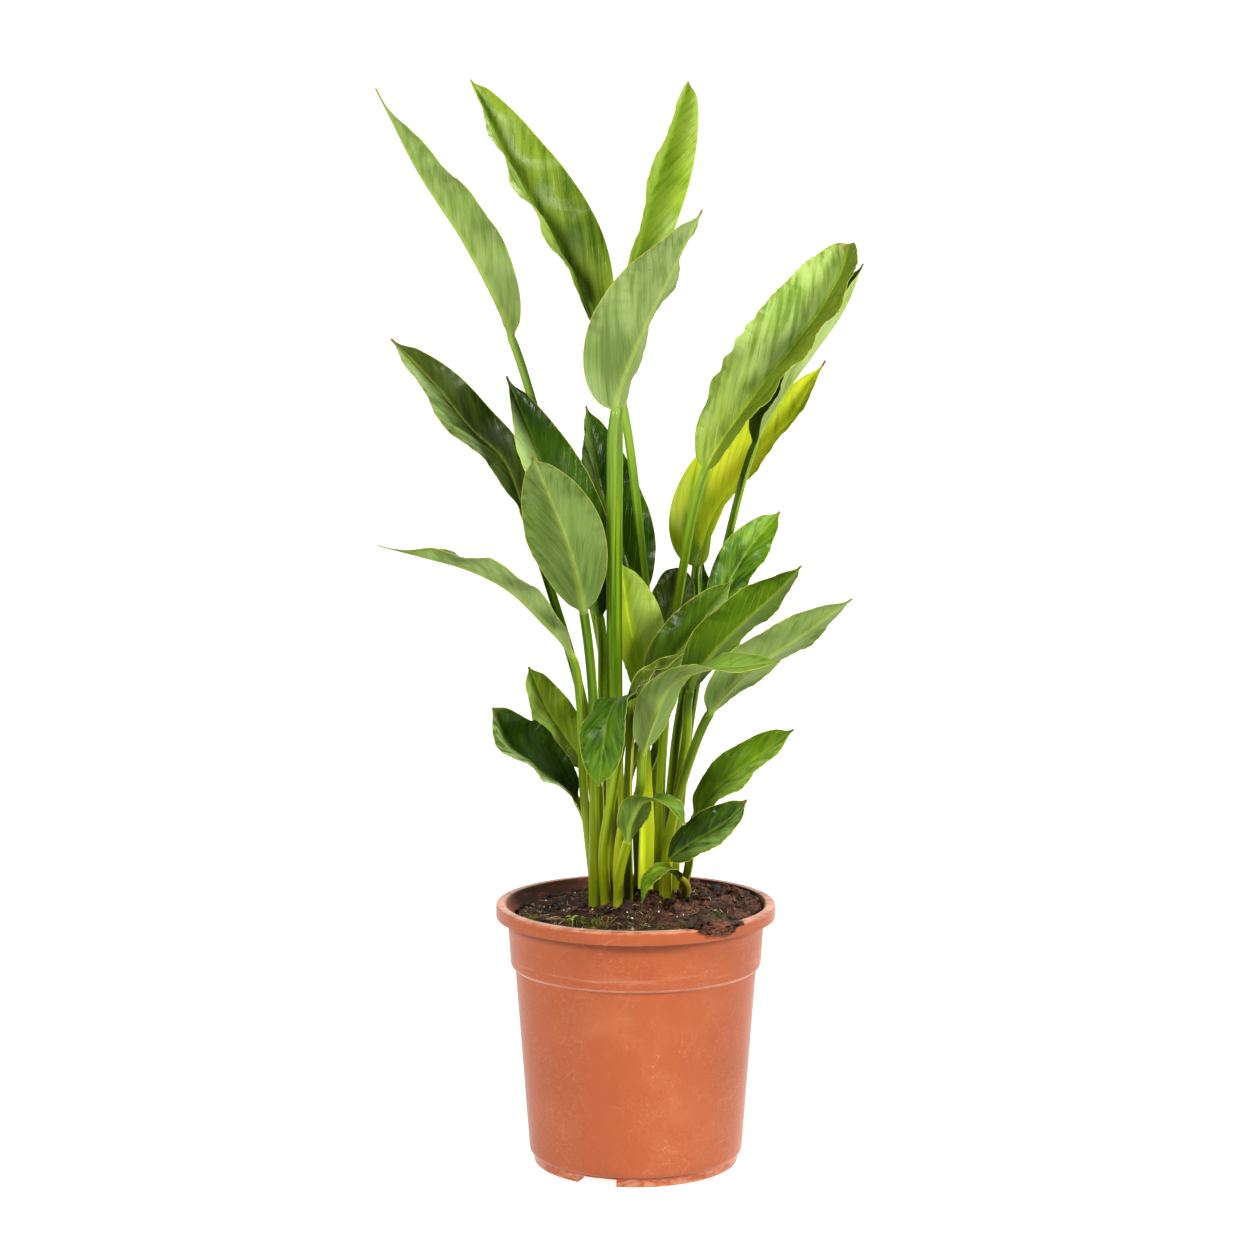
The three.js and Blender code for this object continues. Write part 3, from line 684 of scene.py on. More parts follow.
MOSS_PATCHES = (  # middle, spread across and deep, how many tufts
    ((-55, -64), (30, 15), 1250), ((-12, -82), (30, 9), 900), ((18, -84), (24, 7), 560),
    ((-80, -24), (7, 18), 260), ((62, -40), (12, 9), 160), ((-30, 66), (24, 9), 200),
    ((-34, -44), (16, 10), 260))
BLADES_IN_TUFT = 5
MOSS_BLADE_FACES = [(0, 1, 2, 3), (3, 2, 4)]


def moss_blade():
    """One moss leaf: a foot, a wider middle and a point."""
    lean, heading, high = rng.uniform(0.1, 0.9), rng.uniform(0, ABOUT_A_TURN), rng.uniform(1.0, 2.6)
    tip = np.array((math.cos(heading) * lean * high, math.sin(heading) * lean * high, high))
    wide = rng.uniform(0.26, 0.46)
    side = np.array((-math.sin(heading) * wide, math.cos(heading) * wide, 0))
    foot, middle = np.array((0, 0, -0.6)), tip * 0.55
    return [foot - side * 0.5, foot + side * 0.5, middle + side, middle - side, tip]


def build_moss():
    """Tufts of moss, thickest in the middle of each patch."""
    tufts = Heap()
    for (cx, cy), (wide, deep), count in MOSS_PATCHES:
        for _ in range(count):
            x, y = cx + rng.gauss(0, wide * 0.5), cy + rng.gauss(0, deep * 0.5)
            if math.hypot(x, y) > MOSS_EDGE:
                continue
            base = surface(x, y)
            for _ in range(BLADES_IN_TUFT):
                tufts.put(moss_blade(), MOSS_BLADE_FACES, (x, y, base))
    tufts.piece("soil_moss", plain_finish("moss", (118, 120, 36), (50, 54, 16), 90, 0.8))


SEEDLING_AT, SEEDLING_TOP, SEED_LEAF_HALF = (-47.0, -50.0), 8.5, 1.5
SEED_LEAVES = ((0.2, 5.5), (3.3, 5), (1.7, 4.2), (4.8, 3.8))  # heading, length
SEED_LEAF_ROWS = 8


def seed_leaf(heading, long):
    """A small leaf that arches over: three points to a row, the middle one lower."""
    across = np.array((-math.sin(heading), math.cos(heading), 0))
    out = np.array((math.cos(heading), math.sin(heading), 0.35))
    verts, faces = [], []
    for t in np.linspace(0, 1, SEED_LEAF_ROWS):
        wide = SEED_LEAF_HALF * math.sin(math.pi * min(1, t * 0.94 + 0.04)) ** 0.8
        at = out * long * t + np.array((0, 0, -1.6 * t * t))
        raised = np.array((0, 0, 0.35 * wide))
        verts += [at - across * wide + raised, at - (0, 0, 0.15), at + across * wide + raised]
    for i in range(SEED_LEAF_ROWS - 1):
        for a in (i * 3, i * 3 + 1):
            faces.append((a, a + 1, a + 4, a + 3))
    return verts, faces


def build_seedling():
    """A weed seedling with two pairs of leaves, at the front left."""
    x, y = SEEDLING_AT
    base = surface(x, y)
    sprout = Heap()
    stem = [(x, y, base - 2), (x + 0.4, y, base + 5), (x, y, base + SEEDLING_TOP)]
    sprout.put(*thread(stem, 0.5))
    for k, (heading, long) in enumerate(SEED_LEAVES):
        at = (x, y, base + SEEDLING_TOP - (k // 2) * 1.5)
        sprout.put(*seed_leaf(heading, long), at)
    green = plain_finish("seedling", (150, 186, 40), (112, 152, 30), 300, 0.45)
    sprout.piece("soil_seedling", green)


# ---- the leaves ------------------------------------------------------------------------------

SHEATH_HEIGHT = 95.0
BURIED = 26.0  # how far a stalk goes on under the soil
FOOT_RISE = 4.0  # how far above the soil's plain surface its middle line starts
LINE_STEPS = 160  # points on the middle line from each given point to the next
BLADE_STEPS, SCALLOPED_STEPS, STALK_STEP = 61, 121, 6.0
REACH = 1.5  # how far before and after a station its direction is taken
ACROSS = 25  # points over a leaf's upper side, and as many under it
VEIN_SWEEP, VEIN_ARCH, VEIN_STEP = 1.9, 0.008, 11.0  # side veins: slant, curve and distance apart
LOBE_STEP = 12.5  # distance between a scalloped margin's small lobes
STALK_ROUGHNESS = 0.25
CURL = 0.3  # how much the fold opens from the midrib out to the margin
PUCKER, DIP = 0.24, 0.8  # how high the blade puckers between veins, and how deep it dips
SQUASH = 0.92  # a stalk's depth for its width
THICK_AT_RIB, THICK_AT_MARGIN, RIB_AT_TIP, NARROWEST = 0.6, 0.28, 0.55, 0.45
NO_BLADE, BLADE_STARTS, BLADE_FULL = 0.7, 0.8, 9.0  # half widths: a stalk's, and where it turns blade
FAR_FROM_MARGIN = 50.0  # what a stalk's points hold as their distance from a margin
LEAF_EDGE_ANGLE = 62  # degrees: edges sharper than this stay crisp
FULL_TURN = 2 * math.pi

# places over a section, from the left margin at -1 to the right one at 1
SPREAD = np.linspace(-1, 1, ACROSS)
SIDEWAYS = (np.sign(SPREAD) * np.abs(SPREAD) ** 1.4)[None, :]
PART, HAND = np.abs(SIDEWAYS), np.sign(SIDEWAYS)


@dataclass
class Leaf:
    """One leaf, stalk and blade."""

    name: str
    tone: str  # which of the leaf finishes it has
    foot: tuple  # where it stands
    sheath: tuple  # half its width and depth at the soil
    stalk: list  # points on the stalk's middle line
    blade: list  # points on the blade's middle line
    face: list  # where the upper side looks at the base, and at the tip where it turns
    half: float  # the widest half of the blade
    fold: float  # how far each half is raised, in degrees
    rise: float = 0.6  # how slowly the blade widens from its base
    taper: float = 0.95  # how slowly it narrows to its tip
    wave: float = 2.2  # how high its margin waves
    waves: float = 2.5  # how often
    stalk_half: float = 3.3  # half the stalk's width
    warm: float = 0.0  # yellower than its kind, with a faint painted glow, or more olive below 0
    light: float = 0.0  # lighter than its kind, or darker below 0: partly its own tone, partly painted light on a lit leaf and painted shade on a shaded one
    dry: float = 0.3  # how brown its tip and margin are
    sheath_yellow: float = 0.4  # how yellow its foot is; above a half, the foot also has a painted glow
    bloom_and_sheen: float = 0.15  # how much grey bloom it has, partly a painted sheen
    lit: float = 0.0  # painted light: how much lighter its right half is painted than its left; below 0, the left one is
    scallop: float = 0.0  # how far the margin's small lobes reach
    crinkle: float = 1.0  # how strongly it puckers between its veins


LEAVES = [
    Leaf("leaf_tall_far_left", "pale", foot=(-11, 11), sheath=(4.6, 3.2),
         stalk=[(-27, 16, 394), (-71, 26, 550)],
         blade=[(-92, 14, 619), (-122, -14, 683), (-156, -50, 739), (-182, -90, 795)],
         face=[(0.7, 0.7, 0.1)], half=25.5, rise=0.75, taper=1.25, fold=42, wave=3, waves=4.5,
         light=0.05, bloom_and_sheen=0.9),
    Leaf("leaf_tall_left", "bright", foot=(14, 33), sheath=(4.8, 3.2),
         stalk=[(15, 39, 330), (5, 38, 452), (-10, 33, 569)],
         blade=[(-28, 32, 629), (-54, 38, 680), (-94, 52, 746), (-124, 68, 811)],
         face=[(0.64, -0.74, 0.2)], half=35, rise=0.6, taper=0.8, fold=43, wave=3, waves=4.5,
         warm=0.3, light=0.08, bloom_and_sheen=0.6, lit=-0.5, crinkle=1.5),
    Leaf("leaf_tall_middle", "yellow", foot=(-10.5, 1), sheath=(4.2, 3.2),
         stalk=[(-13, -4, 336), (-13, -8, 515)],
         blade=[(-10, 0, 633), (4, 12, 700), (21, 26, 756), (39, 42, 808)],
         face=[(0.75, -0.66, 0.15)], half=24.5, rise=0.7, taper=0.6, fold=40,
         light=-0.02, bloom_and_sheen=0.5, lit=-0.2, crinkle=1.2),
    Leaf("leaf_tall_front", "pale", foot=(-20, -2), sheath=(4.4, 3.3),
         stalk=[(-18, -20, 339), (-18, -30, 502)],
         blade=[(-15, -38, 568), (6, -54, 626), (25, -74, 666), (46, -98, 711)],
         face=[(-0.62, 0.77, 0.25)], half=38, rise=0.6, taper=1.1, fold=40, wave=3.6, waves=2.6,
         dry=0.5, sheath_yellow=0.2, bloom_and_sheen=1.0, crinkle=1.6),
    Leaf("leaf_olive_left", "olive", foot=(-20, 17), sheath=(4.2, 3),
         stalk=[(-37, 12, 334), (-64, 14, 432)],
         blade=[(-84, 18, 491), (-99, 22, 528), (-124, 27, 552), (-146, 31, 579), (-183, 36, 618)],
         face=[(0.3, -0.85, 0.4)], half=20, rise=0.85, taper=0.9, fold=28, wave=2.6,
         warm=-0.3, dry=0.5, bloom_and_sheen=0.2, lit=-0.7, light=-0.1),
    Leaf("leaf_dark_left", "deep", foot=(-20, 8), sheath=(4.2, 3),
         stalk=[(-22, 4, 289), (-25, 1, 350)],
         blade=[(-27, 0, 412), (-43, 2, 462), (-67, 6, 518), (-96, 16, 591)],
         face=[(0.5, -0.85, 0)], half=30, rise=0.8, taper=1, fold=36,
         lit=-0.9),
    Leaf("leaf_pale_left", "pale", foot=(-31, -4), sheath=(4.2, 3),
         stalk=[(-31, -20, 286), (-32, -38, 364)],
         blade=[(-38, -48, 421), (-46, -58, 461), (-59, -72, 500), (-74, -90, 538)],
         face=[(0, 0.92, 0.3)], half=28, rise=0.85, taper=0.95, fold=12, wave=1.4,
         light=-0.2, dry=0.5, bloom_and_sheen=0.45),
    Leaf("leaf_long_drooping", "pale", foot=(-30.5, 6.5), sheath=(4.2, 3),
         stalk=[(-39, -8, 284), (-41, -32, 352)],
         blade=[(-47, -46, 390), (-69, -64, 418), (-92, -82, 442),
                (-119, -100, 458), (-152, -114, 469), (-181, -124, 478)],
         face=[(0.4, 0.3, 0.8), (0.1, 0.1, 0.99)], half=14.5, rise=0.8, taper=1, fold=48,
         wave=4.2, waves=4, light=-0.1, bloom_and_sheen=0.9),
    Leaf("leaf_dark_behind", "deep", foot=(-17, 25), sheath=(4, 3),
         stalk=[(-20, 38, 299), (0, 46, 359)],
         blade=[(1, 50, 421), (-8, 54, 451), (-24, 64, 494), (-38, 84, 566)],
         face=[(0.6, -0.8, 0.1)], half=30, rise=0.75, taper=0.95, fold=30,
         light=-0.15, bloom_and_sheen=0.0, lit=-0.4),
    Leaf("leaf_large_right", "bright", foot=(18, 14), sheath=(4.8, 3.2),
         stalk=[(20, 14, 303), (33, 14, 432)],
         blade=[(52, 14, 521), (79, 22, 564), (112, 38, 605),
                (139, 54, 639), (156, 68, 669), (162, 76, 689)],
         face=[(-0.6, -0.75, 0.3)], half=37, rise=0.6, taper=0.45, fold=34, wave=2.4, waves=5,
         warm=0.4, light=0.13, bloom_and_sheen=0.45, lit=-0.95, scallop=1.1, crinkle=1.9),
    Leaf("leaf_dark_right", "deep", foot=(28, 27), sheath=(4.2, 3),
         stalk=[(44, 44, 344), (69, 52, 462)],
         blade=[(90, 58, 537), (112, 68, 574), (137, 82, 607), (160, 94, 639), (175, 106, 674)],
         face=[(-0.7, -0.45, 0.5)], half=22, rise=0.7, taper=0.8, fold=50, wave=3, waves=4,
         light=0.1, bloom_and_sheen=0.6, lit=0.6),
    Leaf("leaf_yellow_right", "yellow", foot=(22, 38), sheath=(4.4, 3.2),
         stalk=[(36, 62, 342), (46, 74, 410)],
         blade=[(47, 84, 442), (61, 94, 480), (90, 109, 520), (119, 118, 552), (148, 128, 599)],
         face=[(-0.65, -0.7, 0.3)], half=37, rise=0.55, taper=1.05, fold=40,
         warm=0.8, light=0.06, dry=0.6),
    Leaf("leaf_right_upright", "bright", foot=(21, 23), sheath=(4, 3),
         stalk=[(33, 26, 332), (46, 28, 385)],
         blade=[(57, 30, 410), (68, 32, 431), (83, 36, 457), (109, 44, 488)],
         face=[(-0.3, -0.85, 0.3)], half=17, rise=0.8, taper=0.8, fold=16,
         light=-0.05, bloom_and_sheen=0.2, lit=-0.2),
    Leaf("leaf_dark_glossy", "deep", foot=(3, 32), sheath=(4, 3),
         stalk=[(3, 33, 269), (18, 25, 320)],
         blade=[(15, 12, 350), (24, 0, 375), (42, 0, 399), (72, 6, 440)],
         face=[(-0.5, -0.8, 0.3)], half=21, rise=0.8, taper=0.9, fold=34,
         light=0.05, lit=0.45),
    Leaf("leaf_right_middle", "mid", foot=(29, 17), sheath=(4.2, 3),
         stalk=[(31, 4, 274), (38, -6, 325)],
         blade=[(40, -16, 359), (56, -29, 388), (80, -43, 415), (103, -54, 438), (119, -66, 458)],
         face=[(-0.4, 0.75, 0.5)], half=24, rise=0.75, taper=0.9, fold=20,
         bloom_and_sheen=0.0, light=-0.06),
    Leaf("leaf_right_long", "pale", foot=(22, 5), sheath=(4.2, 3),
         stalk=[(26, -10, 254), (41, -28, 313)],
         blade=[(54, -40, 346), (72, -54, 370), (94, -66, 389), (119, -82, 409), (153, -102, 438)],
         face=[(-0.35, 0.8, 0.42)], half=21, rise=0.7, taper=0.9, fold=22,
         bloom_and_sheen=0.5, light=-0.04),
    Leaf("leaf_twisted_front", "pale", foot=(-13.5, -8), sheath=(4, 3),
         stalk=[(-10, -30, 258), (3, -52, 292)],
         blade=[(5, -59, 320), (15, -66, 351), (27, -79, 373),
                (48, -92, 385), (75, -102, 389), (102, -108, 394)],
         face=[(-0.3, 0.9, 0.3), (0, -0.55, 0.85)], half=19, rise=0.7, taper=0.75, fold=18,
         light=0.04, bloom_and_sheen=0.55),
    Leaf("leaf_bent_front", "mid", foot=(-22.5, -10), sheath=(4, 3),
         stalk=[(-24, -24, 242), (-15, -38, 300), (-9, -50, 342)],
         blade=[(-9, -62, 358), (-14, -76, 361), (-20, -88, 350), (-24, -93, 328), (-27, -94, 302)],
         face=[(0.15, 0.75, 0.65), (-0.3, -0.9, 0.25)], half=20, rise=0.6, taper=0.75, fold=8, wave=1,
         light=-0.08),
    Leaf("leaf_small_folded", "olive", foot=(-5, -3), sheath=(3.4, 2.6),
         stalk=[(-6, -24, 279), (-4, -42, 331)],
         blade=[(-2, -50, 360), (6, -52, 370), (19, -56, 380), (35, -62, 395)],
         face=[(-0.2, -0.5, 0.85)], half=9, rise=0.5, taper=0.7, fold=44,
         dry=0.9),
    Leaf("leaf_curled_small", "pale", foot=(-13.5, -17), sheath=(3.2, 2.6),
         stalk=[(-12, -26, 223)],
         blade=[(-6, -40, 251), (-2, -48, 269), (6, -54, 283),
                (17, -58, 285), (29, -60, 278), (36, -58, 267)],
         face=[(-0.2, 0.95, 0.2), (0, -0.5, 0.85)], half=13, rise=0.7, taper=0.7, fold=16, wave=1,
         light=0.05),
    Leaf("leaf_low_right", "bright", foot=(37, 22), sheath=(3.4, 2.6),
         stalk=[(40, 16, 220)],
         blade=[(45, 8, 260), (59, 0, 282), (81, -10, 302), (100, -20, 318), (116, -30, 333)],
         face=[(-0.4, -0.7, 0.6)], half=17.5, rise=0.75, taper=0.8, fold=18,
         light=0.15, lit=0.4),
    Leaf("leaf_lowest_right", "deep", foot=(24, -5), sheath=(3.2, 2.6),
         stalk=[(24, -10, 222)],
         blade=[(25, -14, 232), (36, -22, 243), (53, -34, 256), (69, -44, 269), (81, -50, 284)],
         face=[(-0.3, -0.75, 0.55)], half=16.5, rise=0.7, taper=0.7, fold=16, wave=1.2,
         dry=0.9, lit=0.3),
    Leaf("leaf_folded_low", "mid", foot=(37, -9), sheath=(3.2, 2.6),
         stalk=[(37, -20, 215)],
         blade=[(33, -27, 222), (24, -33, 228), (13, -40, 223), (4, -45, 206)],
         face=[(0.3, 0, 0.95), (-0.85, -0.2, 0.5)], half=12, rise=0.6, taper=0.7, fold=14, wave=0.8,
         warm=0.2),
    Leaf("leaf_folded_left", "olive", foot=(-28, 25), sheath=(3.6, 2.8),
         stalk=[(-30, 28, 247)],
         blade=[(-36, 30, 291), (-53, 32, 317), (-68, 32, 340), (-81, 34, 371)],
         face=[(0.4, -0.8, 0.4)], half=18, rise=0.75, taper=0.75, fold=18,
         light=0.2, dry=0.6, lit=-0.3),
    Leaf("leaf_cupped_left", "deep", foot=(-30, 16), sheath=(3.6, 2.8),
         stalk=[(-34, 12, 244)],
         blade=[(-44, 2, 274), (-60, -8, 290), (-80, -20, 306), (-96, -32, 324), (-105, -42, 351)],
         face=[(0.15, -0.65, 0.75)], half=29, rise=0.8, taper=0.6, fold=40,
         lit=-1.0),
    Leaf("leaf_young_centre", "yellow", foot=(8, 22.3), sheath=(7.4, 4.2),
         stalk=[(8, 20, 271), (5, 20, 332)],
         blade=[(4, 20, 355), (-1, 20, 389), (-7, 20, 421), (-11, 22, 451)],
         face=[(0.5, -0.86, 0)], half=24, rise=0.8, taper=0.8, fold=30, stalk_half=4.4,
         light=0.36, sheath_yellow=1.6, lit=0.9, warm=0.6),
    Leaf("leaf_split_tip", "olive", foot=(-6, 21), sheath=(4.6, 3.2),
         stalk=[(-9, 39, 268), (11, 50, 336)],
         blade=[(19, 57, 376), (24, 60, 397), (29, 64, 420), (32, 68, 443)],
         face=[(0, -0.95, 0.2)], half=18, rise=0.5, taper=0.45, fold=18,
         warm=-0.2, dry=1.0, light=-0.15, lit=0.3),
    Leaf("leaf_hidden_back", "deep", foot=(9, 42), sheath=(3.4, 2.6),
         stalk=[(36, 76, 308)],
         blade=[(47, 86, 385), (49, 90, 404), (51, 94, 425), (52, 98, 447)],
         face=[(0, -0.95, 0.2)], half=11, fold=20,
         light=-0.3),
]


def middle_line(points):
    """Points close together on the centripetal curve through the given ones."""
    points = np.array(points, float)
    every = np.vstack([2 * points[0] - points[1], points, 2 * points[-1] - points[-2]])
    t = np.linspace(0, 1, LINE_STEPS, endpoint=False)[:, None]
    path = []
    for p0, p1, p2, p3 in zip(every, every[1:], every[2:], every[3:]):
        d0, d1, d2 = (np.linalg.norm(b - a) ** 0.5 for a, b in ((p0, p1), (p1, p2), (p2, p3)))
        out = ((p1 - p0) / d0 - (p2 - p0) / (d0 + d1) + (p2 - p1) / d1) * d1
        into = ((p2 - p1) / d1 - (p3 - p1) / (d1 + d2) + (p3 - p2) / d2) * d1
        bend = (3 * (p2 - p1) - 2 * out - into) * t ** 2
        path.append(p1 + out * t + bend + (2 * (p1 - p2) + out + into) * t ** 3)
    return np.vstack([*path, points[-1:]])


def along_line(line, lengths, at):
    """The places on a line at the given distances along it."""
    return np.stack([np.interp(at, lengths, line[:, i]) for i in range(3)], axis=1)


def unit(rows):
    return rows / np.linalg.norm(rows, axis=1, keepdims=True)


def half_width(leaf, s):
    """Half the blade's width, from its base at 0 to its tip at 1."""
    peak = leaf.rise / (leaf.rise + leaf.taper)
    swell = (s / peak) ** leaf.rise * ((1 - s) / (1 - peak)) ** leaf.taper
    return np.maximum(NARROWEST, leaf.half * swell)


class Stations:
    """The stations along a leaf, where it has its sections: two under the soil, the stalk's and
    the blade's. What changes along the leaf is a column, with a row for each station."""

    def __init__(self, leaf):
        ground = float(soil_height(*leaf.foot)) + FOOT_RISE
        line = middle_line([(*leaf.foot, ground), *leaf.stalk, *leaf.blade])
        lengths = np.concatenate([[0], np.cumsum(np.linalg.norm(np.diff(line, axis=0), axis=1))])
        total = lengths[-1]
        self.stalk_length = lengths[LINE_STEPS * (1 + len(leaf.stalk))]

        stalk_count = max(8, int(self.stalk_length / STALK_STEP))
        stalk_at = np.linspace(0, self.stalk_length, stalk_count, endpoint=False)
        steps = np.linspace(0, 1, SCALLOPED_STEPS if leaf.scallop else BLADE_STEPS)
        blade_s = np.unique(np.concatenate([np.sin(steps * math.pi / 2) ** 2, steps]))
        at = np.concatenate([[0, 0], stalk_at, between(self.stalk_length, total, blade_s)])
        below = 2 + stalk_count
        self.far = at[:, None]  # millimetres along the leaf
        self.s = np.concatenate([np.zeros(below), blade_s])[:, None]  # 0 at the base, 1 at the tip
        self.is_blade = np.concatenate([np.zeros(below), np.ones(len(blade_s))])[:, None]

        self.centre = along_line(line, lengths, at)
        self.centre[0, 2] -= BURIED
        self.centre[1, 2] -= BURIED * 0.4
        ahead = along_line(line, lengths, np.minimum(at + REACH, total))
        behind = along_line(line, lengths, np.maximum(at - REACH, 0))
        along = unit(ahead - behind)
        along[:2] = (0, 0, 1)
        face = between(np.array(leaf.face[0], float), np.array(leaf.face[-1], float), self.s)
        self.up = unit(face - along * np.sum(face * along, axis=1, keepdims=True))
        self.side = np.cross(along, self.up)
        self.set_sizes(leaf)

    def set_sizes(self, leaf):
        """Sizes at each station, and each point's distance from the midrib and place on a vein."""
        blade = self.is_blade > 0
        stalk_half, stalk_deep = leaf.stalk_half, leaf.stalk_half * SQUASH
        widen = 1 - rise(self.far, 0, min(SHEATH_HEIGHT, 0.7 * self.stalk_length))
        rib = between(stalk_half, RIB_AT_TIP, self.s ** 0.36)
        self.across = np.where(blade, rib, between(stalk_half, leaf.sheath[0], widen))
        self.deep = np.where(blade, rib * SQUASH, between(stalk_deep, leaf.sheath[1], widen))
        self.half = np.where(blade, half_width(leaf, self.s), NO_BLADE)
        fold = math.radians(leaf.fold)
        self.fold = np.where(blade, fold * rise(self.s, -0.1, 0.12), fold)
        self.flat = rise(self.half, BLADE_STARTS, BLADE_FULL)  # 0: a stalk, 1: a blade
        self.phase = leaf.foot[0] + leaf.foot[1]
        self.distance = self.half * PART
        swept = VEIN_SWEEP * self.distance
        arched = VEIN_ARCH * self.distance ** 2
        self.vein = self.far - self.stalk_length - swept - arched


def lift_off(leaf, at):
    """How far each point is lifted by the margin's waves and ruffles, puckers and dips."""
    s, half, phase, vein = at.s, at.half, at.phase, at.vein
    ends = np.sin(math.pi * s)  # nothing at the base and the tip
    ripple = leaf.wave * np.sin(FULL_TURN * leaf.waves * s + phase + HAND) * ends
    frill = 0.35 * np.sin(FULL_TURN * (leaf.waves * 3.3) * s + 2.1 * phase + 1.7 * HAND)
    frill += 0.22 * np.sin(FULL_TURN * (leaf.waves * 7.1) * s + 0.7 * phase + 2.9 * HAND)
    frill *= ends ** 0.5 * rise(PART, 0.5, 1) * np.minimum(1, half / 14)
    pucker = np.sin(FULL_TURN * vein / VEIN_STEP + phase + 1.3 * np.sin(vein / 17 + phase))
    pucker *= PUCKER * leaf.crinkle * np.sin(math.pi * PART) ** 0.7 * np.minimum(1, half / 16)
    dip = DIP * np.sin(FULL_TURN * (leaf.waves * 1.1) * s + phase * 1.3 + 2.2 * HAND)
    dip *= np.sin(math.pi * PART) * ends
    return (ripple * PART ** 2 + frill + pucker + dip) * at.is_blade


def blade_top(leaf, at):
    """The blade's upper side, as places out from the midrib and up, with its slope."""
    start = at.fold + CURL
    slope = start - 2 * CURL * PART
    out = at.half * (np.sin(start) - np.sin(slope)) / (2 * CURL)
    raised = at.half * (np.cos(slope) - np.cos(start)) / (2 * CURL)
    lobe = np.sin(FULL_TURN * at.vein / LOBE_STEP + 1.7 * HAND + 1.6 * np.sin(at.vein / 19 + at.phase))
    lobe *= rise(PART, 0.7, 1) * rise(at.s, 0.02, 0.12) * (1 - 0.8 * rise(at.s, 0.35, 0.7))
    out += leaf.scallop * lobe * np.cos(slope)
    raised += leaf.scallop * lobe * (np.sin(slope) + 0.5 * np.cos(slope))

    lift = lift_off(leaf, at)
    knee = np.clip(0.9 * at.across / at.half, 0.03, 0.5)  # where the midrib turns into the blade
    out += 0.92 * at.across * np.minimum(1, PART / knee) - lift * np.sin(at.fold)
    raised += at.deep * (0.12 + 0.33 * rise(PART / knee, 0, 1)) + lift * np.cos(at.fold)
    return out, raised, slope


def leaf_rings(leaf, at):
    """A ring of points at each station: over the upper side, then back along the underside."""
    across, deep = at.across, at.deep
    blade_out, blade_up, slope = blade_top(leaf, at)
    thick = between(THICK_AT_RIB, THICK_AT_MARGIN, PART)
    keel = np.maximum(1.12 * deep - thick, 0) * np.exp(-(blade_out / (0.72 * across)) ** 2)
    under_out = blade_out + thick * np.sin(slope) * rise(PART, 0, 0.15)
    under_up = blade_up - thick * np.cos(slope) - keel

    # the stalk: channelled above, round below
    turn = PART * math.pi / 2
    stalk_out = (0.92 * across + 0.55) * np.sin(turn)
    channel = deep * (-0.05 + 0.55 * np.sin(turn) ** 2 - 0.12 * rise(PART, 0.8, 1))
    edge = 0.33 * deep
    belly = edge - (edge + deep) * np.cos(turn) ** 0.9

    def places(stalk_up, blade_out, blade_up):
        out = HAND * between(stalk_out, blade_out, at.flat)
        up = between(stalk_up, blade_up, at.flat)
        return at.centre[:, None] + at.side[:, None] * out[:, :, None] + at.up[:, None] * up[:, :, None]

    top = places(channel, blade_out, blade_up)
    bottom = places(belly, under_out, under_up)
    return np.concatenate([top, bottom[:, ::-1]], axis=1)


def leaf_faces(stations):
    """Faces between the rings, and rows of them that close both ends."""
    count = 2 * ACROSS
    faces = list(ring_faces(stations, count))
    last = (stations - 1) * count
    for k in range(ACROSS - 1):
        faces.append((k, count - 1 - k, count - 2 - k, k + 1))
        faces.append((last + k, last + k + 1, last + count - 2 - k, last + count - 1 - k))
    return faces


def build_leaf(leaf, finish, seed):
    """One leaf's piece; seed sets its noises apart from the other leaves'."""
    at = Stations(leaf)
    verts = leaf_rings(leaf, at).reshape(-1, 3)
    faces = leaf_faces(len(at.s))
    piece = make_piece(leaf.name + "_living", verts, faces, finish, LEAF_EDGE_ANGLE)
    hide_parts(leaf.name)
    mark_leaf(piece, leaf, at, seed)


def mark_leaf(piece, leaf, at, seed):
    """Stores what the finish reads at each point."""
    plane = np.zeros((len(at.s), ACROSS))

    def both(upper, under=None):
        """One value for each point: the upper side's, then the underside's back along it."""
        under = upper if under is None else under
        return np.concatenate([upper + plane, (under + plane)[:, ::-1]], axis=1).ravel()

    down_stalk = (at.far - at.stalk_length) / at.stalk_length
    where = np.where(at.is_blade > 0, at.s, down_stalk)
    margin = at.half * (1 - PART) * at.is_blade + FAR_FROM_MARGIN * (1 - at.is_blade)
    marks = {
        "leaf": (both(where), both(SIDEWAYS), both(0, 1)),
        "mark": (both(at.vein), both(margin), both(at.distance)),
        "look": (both(at.far), both(leaf.warm), both(leaf.light)),
        "age": (both(leaf.dry), both(leaf.sheath_yellow), both(seed)),
        "bloom_and_sheen": (both(leaf.bloom_and_sheen), both(leaf.lit * HAND), both(0)),
    }
    for name, columns in marks.items():
        mark(piece, name, np.stack(columns, axis=1))


# ---- the leaves' finishes ---------------------------------------------------------------------


